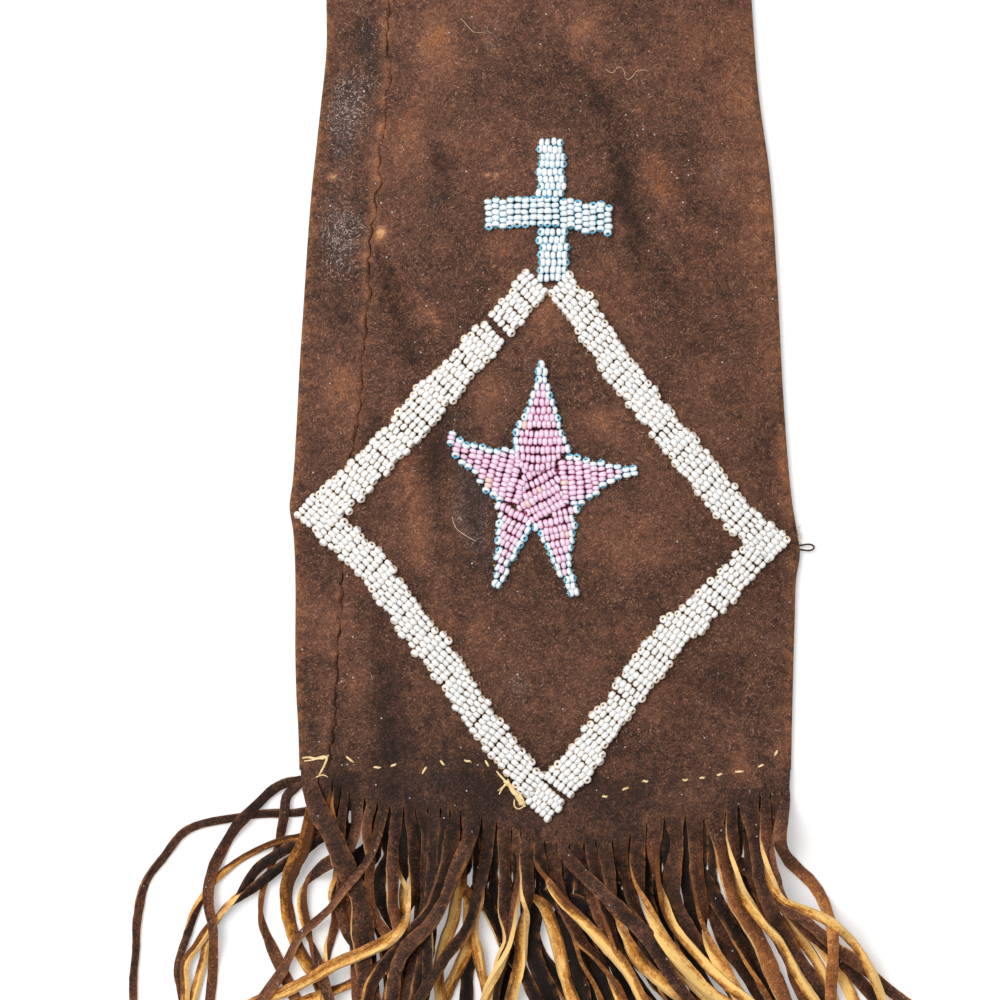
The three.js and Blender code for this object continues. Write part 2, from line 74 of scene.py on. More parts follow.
def curveThrough(points):
    # a smooth line through (place, value) pairs, level past its ends
    places = [place for place, value in points]
    values = [value for place, value in points]
    slopes = np.gradient(np.array(values, float), np.array(places, float))

    def valueAt(place):
        place = min(max(place, places[0]), places[-1])
        i = min(bisect.bisect_right(places, place) - 1, len(places) - 2)
        span = places[i + 1] - places[i]
        t = (place - places[i]) / span
        rise = values[i + 1] - values[i]
        bend = slopes[i] * span * (1 - t) ** 2 * t - slopes[i + 1] * span * (1 - t) * t ** 2
        return values[i] + rise * (3 * t ** 2 - 2 * t ** 3) + bend

    return valueAt


def deselectAll():
    bpy.ops.object.select_all(action="DESELECT")


def makeActive(obj):
    deselectAll()
    obj.select_set(True)
    bpy.context.view_layer.objects.active = obj


def nameActive(name):
    obj = bpy.context.object
    obj.name = name
    obj.data.name = name
    return obj


def gridSheet(name, places):
    # a grid primitive with each vertex moved to its place: rows along, then points across
    rows, columns = places.shape[:2]
    deselectAll()
    bpy.ops.mesh.primitive_grid_add(x_subdivisions=columns - 1, y_subdivisions=rows - 1, size=1)
    obj = nameActive(name)
    obj.data.vertices.foreach_set("co", (places * mm).ravel())
    obj.data.update()
    return obj


def joinPieces(name, objects):
    deselectAll()
    for obj in objects:
        obj.select_set(True)
    bpy.context.view_layer.objects.active = objects[0]
    bpy.ops.object.join()
    return nameActive(name)


def mergeDoubles(obj, distance):
    makeActive(obj)
    bpy.ops.object.mode_set(mode="EDIT")
    bpy.ops.mesh.select_all(action="SELECT")
    bpy.ops.mesh.remove_doubles(threshold=distance * mm)
    bpy.ops.object.mode_set(mode="OBJECT")


def giveThickness(obj, thickness, offset):
    # grain side keeps its material, the flesh side takes the second and the cut edge the third
    makeActive(obj)
    wall = obj.modifiers.new("wall", "SOLIDIFY")
    wall.thickness = thickness * mm
    wall.offset = offset
    wall.use_even_offset = False
    wall.material_offset = 1
    wall.material_offset_rim = 2
    bpy.ops.object.modifier_apply(modifier=wall.name)
    for vertex in obj.data.vertices:
        vertex.co.z = max(vertex.co.z, 0.0)
    bpy.ops.object.shade_smooth_by_angle(angle=hideAngle)


def addAttribute(obj, name, values):
    layer = obj.data.attributes.new(name, "FLOAT", "POINT")
    layer.data.foreach_set("value", np.asarray(values, np.float32).ravel())


def setMaterials(obj, *materials):
    obj.data.materials.clear()
    for material in materials:
        obj.data.materials.append(material)


def finishPiece(obj, slotName, *nodes):
    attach(obj, "root")
    if nodes:
        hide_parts(*nodes)


# Shader tools

def paint(red, green, blue):
    # screen colour from 0 to 255 as a linear colour
    def linear(value):
        value /= 255
        return value / 12.92 if value <= 0.04045 else ((value + 0.055) / 1.055) ** 2.4

    return (linear(red), linear(green), linear(blue), 1)


def feed(tree, socket, value):
    if isinstance(value, bpy.types.NodeSocket):
        tree.links.new(value, socket)
    else:
        socket.default_value = value


def addNode(tree, kind, inputs=None, **settings):
    made = tree.nodes.new("ShaderNode" + kind)
    for key, value in settings.items():
        setattr(made, key, value)
    for key, value in (inputs or {}).items():
        feed(tree, made.inputs[key], value)
    return made


def calc(tree, operation, a, b, clamp=False):
    return addNode(tree, "Math", {0: a, 1: b}, operation=operation, use_clamp=clamp).outputs[0]


def times(tree, a, b):
    return calc(tree, "MULTIPLY", a, b)


def addShare(tree, value, part, share):
    # the value with a share of another one added
    return calc(tree, "ADD", value, times(tree, part, share))


def mixColour(tree, factor, a, b):
    return addNode(tree, "Mix", {0: factor, 6: a, 7: b}, data_type="RGBA").outputs[2]


def tint(tree, colour, saturation, value):
    inputs = {"Saturation": saturation, "Value": value, "Color": colour}
    return addNode(tree, "HueSaturation", inputs).outputs[0]


def spread(tree, value, low, high, newLow=0.0, newHigh=1.0):
    inputs = {"Value": value, 1: low, 2: high, 3: newLow, 4: newHigh}
    return addNode(tree, "MapRange", inputs, interpolation_type="SMOOTHSTEP").outputs[0]


def scaled(tree, vector, factor):
    return addNode(tree, "VectorMath", {0: vector, 3: factor}, operation="SCALE").outputs[0]


def noiseValue(tree, vector, scale, detail=3.0, roughness=0.55):
    inputs = {"Vector": vector, "Scale": scale, "Detail": detail, "Roughness": roughness}
    return addNode(tree, "TexNoise", inputs).outputs[0]


def noiseAboutZero(tree, vector, scale, detail, roughness):
    return calc(tree, "SUBTRACT", noiseValue(tree, vector, scale, detail, roughness), 0.5)


def cellChance(tree, cells):
    return addNode(tree, "SeparateColor", {0: cells.outputs["Color"]}).outputs[0]


def attributeValue(tree, name):
    return addNode(tree, "Attribute", attribute_name=name).outputs["Fac"]


def objectPlace(tree):
    return addNode(tree, "TexCoord").outputs["Object"]


def ramp(tree, value, stops):
    made = addNode(tree, "ValToRGB", {0: value})
    band = made.color_ramp
    while len(band.elements) < len(stops):
        band.elements.new(0.5)
    for element, (place, colour) in zip(band.elements, stops):
        element.position = place
        element.color = colour
    return made.outputs[0]


def newGroup(name, values, outputs):
    # the inputs are a vector and named numbers, the outputs are numbers
    group = bpy.data.node_groups.new(name, "ShaderNodeTree")
    group.interface.new_socket("Vector", in_out="INPUT", socket_type="NodeSocketVector")
    for label, value in values.items():
        socket = group.interface.new_socket(label, in_out="INPUT", socket_type="NodeSocketFloat")
        socket.default_value = value
    for label in outputs:
        group.interface.new_socket(label, in_out="OUTPUT", socket_type="NodeSocketFloat")
    start = group.nodes.new("NodeGroupInput")
    end = group.nodes.new("NodeGroupOutput")
    return group, start, end


def endGroup(group, end, *values):
    for socket, value in zip(end.inputs, values):
        group.links.new(value, socket)
    return group


def placeGroup(tree, group, inputs):
    return addNode(tree, "Group", inputs, node_tree=group)


def newMaterial(name):
    material = bpy.data.materials.new(name)
    material.use_nodes = True
    tree = material.node_tree
    return material, tree, tree.nodes["Principled BSDF"]


def setShader(tree, shader, **values):
    for label, value in values.items():
        feed(tree, shader.inputs[label.replace("_", " ")], value)


def bumpFrom(tree, height, strength, distance):
    inputs = {"Height": height, "Strength": strength, "Distance": distance * mm}
    return addNode(tree, "Bump", inputs).outputs[0]


# Brushed nap of a hide: short pale fibres in drifting directions, thicker where dusty, and their relief
suede = {
    "driftScale": 130.0,
    "driftReach": 0.006,
    "crowdScale": 260.0,
    "rarity": 0.5,
    "rarityDust": -0.62,
    "rarityCrowd": -1.7,
    "fibres": [(0.75, 0.36, 1.15), (-0.85, 0.4, 1.3)],  # turn, and size across and along
    "fibreEdge": (0.32, 0.16),
    "fibrePower": 2.4,
    "grainScale": 2300.0,
    "lyingRelief": 0.5,
    "grainRelief": 0.65,
    "fibreRelief": 0.15,
    "middle": 0.605,  # mean of the relief
}


def makeNap():
    group, start, end = newGroup("suedeNap", {"Fineness": 1.0, "Dust": 0.0}, ["Fibre", "Height"])
    place = scaled(group, start.outputs[0], start.outputs[1])
    inputs = {"Vector": place, "Scale": suede["driftScale"], "Detail": 2.0}
    drift = addNode(group, "TexNoise", inputs).outputs["Color"]
    push = addNode(group, "VectorMath", {0: drift, 1: (0.5, 0.5, 0.5)}, operation="SUBTRACT").outputs[0]
    shift = scaled(group, push, suede["driftReach"])
    bent = addNode(group, "VectorMath", {0: place, 1: shift}, operation="ADD").outputs[0]
    crowd = noiseAboutZero(group, place, suede["crowdScale"], 3.0, 0.6)
    rarity = addShare(group, suede["rarity"], start.outputs[2], suede["rarityDust"])
    rarity = addShare(group, rarity, crowd, suede["rarityCrowd"])
    lying, flecks = [], []
    for turn, across, along in suede["fibres"]:
        inputs = {"Vector": bent, "Rotation": (0, 0, turn), "Scale": (across * mm, along * mm, mm)}
        turned = addNode(group, "Mapping", inputs, vector_type="TEXTURE").outputs[0]
        lying.append(noiseValue(group, turned, 0.8, 2.0))
        cells = addNode(group, "TexVoronoi", {"Vector": turned, "Scale": 1.0}, voronoi_dimensions="2D")
        paleness = spread(group, cellChance(group, cells), rarity, 1.1)
        paleness = calc(group, "POWER", paleness, suede["fibrePower"])
        flecks.append(times(group, paleness, spread(group, cells.outputs["Distance"], *suede["fibreEdge"])))
    longest = calc(group, "MAXIMUM", lying[0], lying[1])
    fibre = calc(group, "MAXIMUM", flecks[0], flecks[1])
    fineGrain = noiseValue(group, place, suede["grainScale"], 3.0, 0.65)
    height = addShare(group, times(group, longest, suede["lyingRelief"]), fineGrain, suede["grainRelief"])
    height = addShare(group, height, fibre, suede["fibreRelief"])
    return endGroup(group, end, fibre, height)


# Cloudy change of tone at two sizes, about zero
clouding = {"broadScale": 75.0, "closeScale": 420.0}


def makeClouds():
    group, start, end = newGroup("clouding", {"Size": 1.0}, ["Broad", "Close"])
    place = scaled(group, start.outputs[0], start.outputs[1])
    broad = noiseAboutZero(group, place, clouding["broadScale"], 4.0, 0.6)
    close = noiseAboutZero(group, place, clouding["closeScale"], 4.0, 0.65)
    return endGroup(group, end, broad, close)


# Specks of pale dust and lint: a share of the cells holds one
speck = {"spacing": 260.0, "share": 0.12, "largest": 0.17}


def makeSpecks():
    group, start, end = newGroup("dustSpecks", {"Spacing": speck["spacing"]}, ["Speck"])
    cells = addNode(group, "TexVoronoi", {"Vector": start.outputs[0], "Scale": start.outputs[1]})
    size = spread(group, cellChance(group, cells), 1 - speck["share"], 1.0, 0.0, speck["largest"])
    return endGroup(group, end, calc(group, "LESS_THAN", cells.outputs["Distance"], size))


napGroup = makeNap()
cloudGroup = makeClouds()
speckGroup = makeSpecks()


# Grain side of the hide: brown suede, mottled, greyed with dust, rubbed orange at the folds
grain = {
    "base": 0.42,
    "tone": 0.4,
    "broadDrift": 0.5,
    "closeDrift": 0.27,
    "clouds": 0.25,
    "relief": 1.25,
    "browns": [
        (0.0, paint(12, 7, 5)),
        (0.28, paint(56, 35, 26)),
        (0.5, paint(100, 65, 49)),
        (0.68, paint(132, 88, 65)),
        (0.86, paint(172, 117, 79)),
        (1.0, paint(210, 160, 115)),
    ],
    "cloudedWarmth": 0.6,
    "greyFrom": (-0.2, -0.8),
    "orangeFrom": (0.05, 0.9),
    "rubbed": paint(186, 118, 64),
    "fibre": paint(200, 150, 120),
    "dustyFibre": paint(204, 184, 174),
    "fibres": (0.54, 0.4),  # everywhere, and more where dusty
    "darkFibres": (-0.45, -0.05, 0.06, 1.0),  # fewer show where the hide is dark
    "speck": paint(236, 226, 220),
    "specks": (0.5, 0.4),
    "speckSpacing": 640.0,
}


def makeGrain():
    material, tree, shader = newMaterial("hideGrain")
    place = objectPlace(tree)
    clouds = placeGroup(tree, cloudGroup, {"Vector": place, "Size": 1.0})
    drifts = placeGroup(tree, cloudGroup, {"Vector": place, "Size": 0.5})
    specks = placeGroup(tree, speckGroup, {"Vector": place, "Spacing": grain["speckSpacing"]})
    # the tone carries the hide's own tone together with painted shade and painted highlight
    tone = attributeValue(tree, "tone")
    leaning = addShare(tree, attributeValue(tree, "warm"), clouds.outputs[1], grain["cloudedWarmth"])
    greyness = spread(tree, leaning, *grain["greyFrom"])
    nap = placeGroup(tree, napGroup, {"Vector": place, "Fineness": 1.0, "Dust": greyness})
    value = addShare(tree, grain["base"], tone, grain["tone"])
    value = addShare(tree, value, drifts.outputs[0], grain["broadDrift"])
    value = addShare(tree, value, drifts.outputs[1], grain["closeDrift"])
    value = addShare(tree, value, clouds.outputs[1], grain["clouds"])
    value = addShare(tree, value, calc(tree, "SUBTRACT", nap.outputs[1], suede["middle"]), grain["relief"])
    colour = ramp(tree, value, grain["browns"])
    colour = mixColour(tree, greyness, colour, tint(tree, colour, 0.8, 1.0))
    warmth = spread(tree, leaning, *grain["orangeFrom"])
    colour = mixColour(tree, warmth, colour, tint(tree, colour, 1.14, 1.04))
    rubbed = times(tree, attributeValue(tree, "rub"), spread(tree, clouds.outputs[1], -0.15, 0.2))
    colour = mixColour(tree, rubbed, colour, grain["rubbed"])
    fibres = times(tree, nap.outputs[0], addShare(tree, grain["fibres"][0], greyness, grain["fibres"][1]))
    fibres = times(tree, fibres, spread(tree, tone, *grain["darkFibres"]))
    colour = mixColour(tree, fibres, colour, mixColour(tree, greyness, grain["fibre"], grain["dustyFibre"]))
    dusty = times(tree, specks.outputs[0], addShare(tree, grain["specks"][0], greyness, grain["specks"][1]))
    colour = mixColour(tree, dusty, colour, grain["speck"])
    setShader(
        tree, shader, Base_Color=colour, Roughness=0.8, Specular_IOR_Level=0.28,
        Normal=bumpFrom(tree, nap.outputs[1], 0.6, 0.5),
    )
    return material


# Flesh side and cut edges: raw tan leather, streaked along the strip, with loose fibres
raw = {
    "base": 0.5,
    "streaks": 1.2,
    "streakScale": (4.0, 26.0, 40.0),  # along the strip, across it and from strip to strip
    "clouds": 0.7,
    "relief": 1.0,
    "fibres": 0.12,
    "fibre": paint(250, 226, 180),
    "places": (0.12, 0.5, 0.85),  # of the dark, middle and light colour
}


def makeRaw(name, *colours):
    material, tree, shader = newMaterial(name)
    place = objectPlace(tree)
    clouds = placeGroup(tree, cloudGroup, {"Vector": place, "Size": 1.3})
    nap = placeGroup(tree, napGroup, {"Vector": place, "Fineness": 1.3})
    flat = addNode(tree, "SeparateXYZ", {0: addNode(tree, "TexCoord").outputs["UV"]})
    lane = (flat.outputs[0], flat.outputs[1], attributeValue(tree, "strand"))
    stretched = {k: times(tree, lane[k], raw["streakScale"][k]) for k in range(3)}
    streak = noiseAboutZero(tree, addNode(tree, "CombineXYZ", stretched).outputs[0], 1.0, 4.0, 0.6)
    value = addShare(tree, raw["base"], streak, raw["streaks"])
    value = addShare(tree, value, clouds.outputs[1], raw["clouds"])
    value = calc(tree, "ADD", value, attributeValue(tree, "fleshTone"))
    value = addShare(tree, value, calc(tree, "SUBTRACT", nap.outputs[1], suede["middle"]), raw["relief"])
    colour = ramp(tree, value, list(zip(raw["places"], colours)))
    colour = mixColour(tree, times(tree, nap.outputs[0], raw["fibres"]), colour, raw["fibre"])
    setShader(
        tree, shader, Base_Color=colour, Roughness=0.9, Sheen_Weight=0.1, Specular_IOR_Level=0.2,
        Normal=bumpFrom(tree, nap.outputs[1], 0.7, 0.5),
    )
    return material


# Old glass seed beads: a painted highlight keeps the crown pale and painted shade deepens the sides, each
# bead a little different
glass = {
    "clouds": 0.2,
    "beadTone": -0.08,
    # painted shade: the glass inside each bead's hole is coloured dark
    "mouth": paint(70, 48, 38),
    "mouthFrom": (0.78, 0.98),
    "roughness": (0.14, 0.3),
    "glow": 0.85,
    "glowReach": 1.0,
}


def makeGlass(name, crown, side, odd, deepening):
    material, tree, shader = newMaterial(name)
    clouds = placeGroup(tree, cloudGroup, {"Vector": objectPlace(tree), "Size": 2.0})
    # painted shade: the lower a point sits on its bead, the more of the side colour it takes
    depth = addShare(tree, attributeValue(tree, "paintedBeadShade"), clouds.outputs[1], glass["clouds"])
    depth = addShare(tree, depth, attributeValue(tree, "tone"), glass["beadTone"])
    depth = calc(tree, "ADD", depth, deepening, clamp=True)
    colour = mixColour(tree, depth, crown, side)
    colour = mixColour(tree, attributeValue(tree, "odd"), colour, odd)
    mouth = spread(tree, attributeValue(tree, "mouth"), *glass["mouthFrom"])
    colour = mixColour(tree, mouth, colour, glass["mouth"])
    rough = spread(tree, clouds.outputs[0], -0.4, 0.4, *glass["roughness"])
    setShader(
        tree, shader, Base_Color=colour, Roughness=rough, IOR=1.5, Subsurface_Weight=glass["glow"],
        Subsurface_Radius=(1, 1, 1), Subsurface_Scale=glass["glowReach"] * mm,
    )
    return material


# Sinew and thread: twisted fibres, pale and a little waxy
def makeSinew(name, dark, light, roughness):
    material, tree, shader = newMaterial(name)
    place = objectPlace(tree)
    clouds = placeGroup(tree, cloudGroup, {"Vector": place, "Size": 2.2})
    nap = placeGroup(tree, napGroup, {"Vector": place, "Fineness": 1.9})
    value = addShare(tree, nap.outputs[1], clouds.outputs[1], 1.4)
    setShader(
        tree, shader, Base_Color=mixColour(tree, spread(tree, value, 0.2, 0.9), dark, light),
        Roughness=roughness, Normal=bumpFrom(tree, nap.outputs[1], 0.6, 0.3),
    )
    return material


# Iron wire gone brown: each pair is for bare and for rusted iron
iron = {"colour": (paint(52, 44, 42), paint(104, 62, 40)), "metal": (0.7, 0.05), "roughness": (0.4, 0.85)}


def makeWire():
    material, tree, shader = newMaterial("wireIron")
    clouds = placeGroup(tree, cloudGroup, {"Vector": objectPlace(tree), "Size": 3.0})
    rust = spread(tree, clouds.outputs[1], -0.15, 0.2)
    setShader(
        tree, shader, Base_Color=mixColour(tree, rust, *iron["colour"]),
        Metallic=spread(tree, rust, 0.0, 1.0, *iron["metal"]),
        Roughness=spread(tree, rust, 0.0, 1.0, *iron["roughness"]),
        Normal=bumpFrom(tree, clouds.outputs[1], 0.4, 0.2),
    )
    return material


hideGrain = makeGrain()
hideFlesh = makeRaw("hideFlesh", paint(82, 44, 15), paint(198, 129, 52), paint(252, 207, 126))
hideCut = makeRaw("hideCut", paint(116, 66, 28), paint(214, 146, 72), paint(252, 206, 132))
# crown colours are painted highlight, side colours are painted shade
whiteGlass = makeGlass("whiteGlass", paint(255, 254, 249), paint(240, 214, 186), paint(240, 230, 212), 0.0)
blueGlass = makeGlass("blueGlass", paint(252, 255, 255), paint(112, 197, 232), paint(215, 242, 252), 0.1)
pinkGlass = makeGlass("pinkGlass", paint(255, 217, 237), paint(186, 60, 118), paint(246, 206, 196), 0.05)
sinewTan = makeSinew("sinewTan", paint(222, 176, 104), paint(255, 234, 180), 0.7)
beadThread = makeSinew("beadThread", paint(150, 112, 74), paint(228, 204, 164), 0.8)
lintWhite = makeSinew("lintWhite", paint(180, 146, 124), paint(232, 212, 198), 0.8)
wireIron = makeWire()
print("materials made")


# Pouch: one hide folded round, its two edges turned in and sewn together on the front

pouch = {
    "thickness": 1.4,
    "layerTop": 3.3,
    "puff": 7.6,
    "puffLength": 75,
    "puffPower": 2.6,
    "foot": 1,
    "length": 313,
    "seenLength": 216,
    "seenStep": 1.05,
    "hiddenStep": 3.3,
    "foldReach": 1.7,
    "frontColumns": 96,
    "backColumns": 40,
    "leftColumns": 12,
    "foldSteps": 8,
    "edgePower": 6,  # creases and waves fade towards the folds
    "hemSoftness": 0.25,
    "waves": [(1.0, 24, 28, 3.3), (0.4, 9, 10, 7.7), (0.13, 3.6, 3.8, 1.2)],  # rise, size, layer
    "backWave": 0.9,
    "stitchTop": 14,
    "stitchDip": 0.28,
    "stitchSpread": 6,
}
leftEdge = curveThrough([
    (-20, -67.6), (1, -68.1), (12, -68.4), (21, -68.9), (32, -69.2), (54, -69.2), (61, -69.4),
    (67, -69.8), (74, -70.8), (80, -70), (94, -69), (113, -68), (133, -66.7), (147, -65.8), (160, -64.8),
    (173, -63.4), (186, -62), (193, -61.2), (200, -60.6), (213, -60.6), (313, -58.5),
])
rightEdge = curveThrough([
    (-20, 67.7), (1, 67.8), (21, 68.2), (43, 68.8), (54, 69.2), (61, 70.2), (67, 69.4), (74, 68.2),
    (80, 67.5), (103, 65.7), (137, 63.9), (166, 61.8), (187, 58.9), (213, 56.9), (313, 54.5),
])
seamLine = curveThrough([
    (1, -60), (6, -59.4), (12, -58.3), (22, -57.8), (39, -56.9), (47, -56.1), (60, -55.8), (90, -53.1),
    (95, -52), (103, -50.9), (108, -50.3), (116, -50.3), (121, -49.2), (126, -49.5), (129, -48.4),
    (138, -48.7), (147, -48.1), (152, -47.3), (156, -46.2), (158.4, -47.3), (161, -45.7), (166, -45.7),
    (173, -45.4), (177, -44.3), (181, -43.7), (187, -44), (190, -42.9), (202, -43.5), (213, -42.9),
    (313, -43),
])
seam = {
    "stitch": 5.2,
    "scallop": 0.85,
    "waver": 0.45,
    "pucker": (0.8, 1.1),
    "openness": (0.6, 1.2),
    "leftLip": 1.7,
    "rightLip": 0.8,
    # distance from the crack and height against the wall
    "lips": [
        (0.03, -1.0), (0.1, -0.6), (0.24, -0.22), (0.5, 0.08), (1.0, 0.34), (1.7, 0.34), (2.6, 0.15),
        (4.2, 0.0),
    ],
}
# Soft creases: start, end, half width and depth
creases = [
    ((19, 183), (33, 139), 6, 1.2),
    ((40, 136), (48, 117), 5, 1.0),
    ((-40, 131), (-29, 117), 6, 1.0),
    ((-44.8, 144), (-38.2, 116), 2.4, 0.9),
    ((-43, 144), (-30, 122.4), 2.0, -0.6),
    ((-47.6, 46), (-41, 12), 4.0, 0.8),
    ((-32, 81), (-21, 43), 6, 1.0),
]
# Sinew stitches along the bottom: place across and up, length and slope in degrees
stitches = [
    (-54, 4, 4, -40), (-46.5, 1.8, 3, -5), (-42, 2.4, 2.4, 25), (-33.5, 1, 3, 55), (-28.5, 3, 2.5, -45),
    (-21.5, 3.6, 3, -15), (-16.2, 2.8, 2.8, -60), (16.3, -6.2, 2.2, 10), (22, -4, 2.6, 20),
    (27.5, -2, 2.4, 10), (38.5, -1.6, 2.2, 5), (43.2, -1, 2.2, 5), (48, -0.2, 2.2, 5),
    (53.5, 0.6, 3.6, 0), (59.4, 2.2, 2.4, 15), (63.5, 5.8, 2.4, 60),
]


def distanceToLine(x, y, start, end):
    alongX, alongY = end[0] - start[0], end[1] - start[1]
    part = ((x - start[0]) * alongX + (y - start[1]) * alongY) / (alongX ** 2 + alongY ** 2)
    part = min(1.0, max(0.0, part))
    return math.hypot(x - start[0] - part * alongX, y - start[1] - part * alongY)


def hideHeight(x, y):
    # top of the front wall
    left, right = leftEdge(y), rightEdge(y)
    side = min(1.0, abs(2 * x - left - right) / (right - left))
    lift = smoothStep(y, 0, pouch["puffLength"])
    height = pouch["layerTop"] + lift * pouch["puff"] * (1 - side ** pouch["puffPower"])
    soft = (1 - side ** pouch["edgePower"]) * mix(pouch["hemSoftness"], 1.0, lift)
    for start, end, width, depth in creases:
        near = distanceToLine(x, y, start, end) / width
        height -= soft * depth * math.exp(-near * near)
    for rise, sizeX, sizeY, layer in pouch["waves"]:
        height += soft * rise * ripple(x / sizeX, y / sizeY, layer)
    if y < pouch["stitchTop"]:
        for acrossAt, upAt, length, slope in stitches:
            away = ((x - acrossAt) ** 2 + (y - upAt) ** 2) / pouch["stitchSpread"]
            if away < 5:
                height -= pouch["stitchDip"] * math.exp(-away)
    return height


# Fields of tone on the hide: place, half sizes, light or dark, orange or grey; mostly the hide's own
# patches, while the dark ones beside the beads and the star are painted shadow
toneAndShadeFields = [
    (-29, 202.5, 4.5, 7, 0.85, 0.6), (10, 205.5, 4.5, 4, 0.8, 0.3), (-37, 176, 3.5, 7, 0.4, 0.3),
    (31.5, 163.5, 5, 7, 0.2, 0.5), (-45.2, 149.5, 1.6, 3, 0.4, 0.5), (-56.5, 105.5, 4.5, 8, 0.6, 0.5),
    (15, 97, 4.5, 4, 0.6, 0.4), (-15.5, 104.5, 4.5, 6, 0.45, 0.3), (-18, 185, 6, 6, -0.25, 0),
    (-59.4, 42.6, 4, 6, 0.2, 0.2), (17.5, 62.5, 8, 5, 0.42, 0.25), (54, 1.5, 3, 3.5, 0.6, 0.5),
    (-19.5, 40, 3, 4.5, 0.35, 0.3), (-33, 128, 2.5, 6, 0.35, 0), (39.5, 144.5, 5, 12, 0.12, 0.5),
    (-52.5, 26, 3, 5, 0.3, 0.3), (-57, 146, 6, 9, -0.05, -0.95), (-53.5, 184, 6, 9.5, -0.05, -0.9),
    (-49, 203, 3.5, 5, -0.3, -0.6), (-55, 173, 3.5, 4, -0.2, -0.6), (-50, 158, 3, 6, -0.25, -0.3),
    (-48, 196, 2.5, 7, -0.3, -0.4), (15, 26, 6, 5, -0.15, -0.4), (-15, 203, 4.5, 6, 0.2, -0.6),
    (-30, 158, 3.5, 5, -0.4, -0.6), (-20, 71.5, 3.5, 7, -0.15, -0.7), (-7, 25, 4, 6, 0, -0.7),
    (-29, 0, 4, 4, -0.1, -0.6), (61.5, 37, 3.5, 5, -0.1, -0.6), (48, 165, 5, 6, 0.55, -0.6),
    (42, 203, 9, 10, 0.55, 0.35), (19, 185, 4.5, 5.5, -0.45, -0.2), (22.5, 162, 3.5, 8, -0.4, -0.2),
    (24, 145.5, 4, 8, -0.3, -0.1), (-29, 168.5, 3, 3, -0.6, -0.2), (-40, 128, 3, 6, -0.1, 0.3),
    (-30.5, 85, 3.5, 6, -0.45, 0.5), (-55.5, 125.5, 3.5, 4, -0.35, 0), (-36.5, 114, 3, 4, -0.3, 0.2),
    (28.5, 47, 7, 5, -0.1, 0), (48, 59, 4, 4, -0.3, 0), (-42, 23.5, 4, 9, -0.25, -0.25),
    (48, 26, 5, 5, -0.3, -0.2), (-57, -4, 3, 4, -0.6, 0), (-25, 59, 3, 10, -0.15, 0.2),
    (9.5, 190, 6, 4, -0.15, 0.4), (-65.5, 14.6, 3, 7, -0.3, -0.5), (49.5, 186, 4.5, 7, 0.35, 0.3),
    (65, 6, 3, 8, 0.6, 0.2), (-17, 215, 7, 5, 0.65, 0), (-47, 95, 3.5, 4, -0.45, -0.1),
    (-20, 79, 2.5, 5, -0.3, -0.3), (-11, 91.5, 2.5, 3, -0.35, 0), (-12.5, 145.5, 5, 4.5, 0.45, 0.5),
    (18.5, 2.5, 4, 3, 0.4, 0.5), (33.5, 88, 3, 5, -0.35, 0), (41, 11, 6, 5, -0.25, 0),
    (61, 47, 4, 6, -0.2, -0.1), (4, 41, 9, 5, -0.2, -0.1), (-29.5, 126, 2.5, 6, 0.3, 0.2),
    (-57.5, 165, 5, 22, -0.22, -0.4), (-28.5, 41.5, 3, 5, 0.4, 0.4), (-29.5, 70, 2.5, 6, -0.35, -0.2),
    (53.5, 128, 4, 9, -0.3, -0.3), (-38, 51, 3, 5, -0.3, -0.1), (-51.5, 113, 3, 5, -0.3, 0),
    (-41, 203.3, 1.6, 1.8, 0.35, -0.1),
]
# Long streaks along soft folds: start, end, half width, light or dark, orange or grey; the light ridges and
# dark valleys of the folds and the bright right fold edge are painted highlight and painted shade
toneAndShadeStreaks = [
    (-37, 188, -45.5, 157, 3, 0.18, 0.4), (-38.5, 88, -33, 58, 2.3, 0.5, 0.8),
    (9.5, 196.5, 24.5, 182, 2.2, 0.4, 0.4), (28.5, 168.5, 33, 157, 2.5, 0.5, 0.4),
    (53.5, 205, 59, 158, 5, 0.45, 0.2), (59, 158, 61, 103, 5, 0.35, 0.3),
    (49, 143, 52, 101.5, 6, 0.05, 0.35), (-0.5, 130, -1.5, 122.5, 5, 0.4, 0.5),
    (16, 136, 20.5, 128, 4, 0.2, 0.5), (-62, 34.5, -61, 15, 3, 0.2, 0.4),
    (-50, 46, -47, 31, 2.5, -0.15, 0), (12, 191, 21, 165, 1.7, -0.25, 0),
    (19.5, 163, 30, 138, 2.6, -0.3, 0), (33, 136, 39.5, 120, 2, -0.2, 0.2),
    (-53.5, 31.5, -42, 6, 3, -0.2, 0.1), (-25, 97, -18, 59, 4.5, -0.4, -0.9),
    (-66, 62, -60, 52, 5, -0.35, 0), (-26, 12, -18, -2, 7, -0.3, -0.2), (12, 2, 20, -10, 6, -0.35, 0),
    (30, 22, 38, 14, 5, 0.05, 0.4), (49, 15, 54, 3, 4, 0.3, 0.2), (-44, 20, -42, -6, 5, -0.3, 0.1),
    (-38, 104, -30, 92, 3, -0.3, 0.7), (17, 74, 25, 70, 4, 0.3, 0.2),
    (-44.8, 143.5, -38.2, 116, 2, -0.24, 0.5), (22, 40, 40, 24, 4, 0.1, 0.5),
    (-45.2, 146.3, -30, 122.4, 1.4, 0.4, 0.3), (-47.6, 45.4, -40, 10, 3.2, -0.22, -0.3),
    (-57.2, 22, -59.6, 4, 1.6, -0.4, 0), (65.5, 92, 67, 76, 2.5, 0.75, 0.6),
    (68, 61, 68.2, 47, 2, 0.4, 0.3),
]
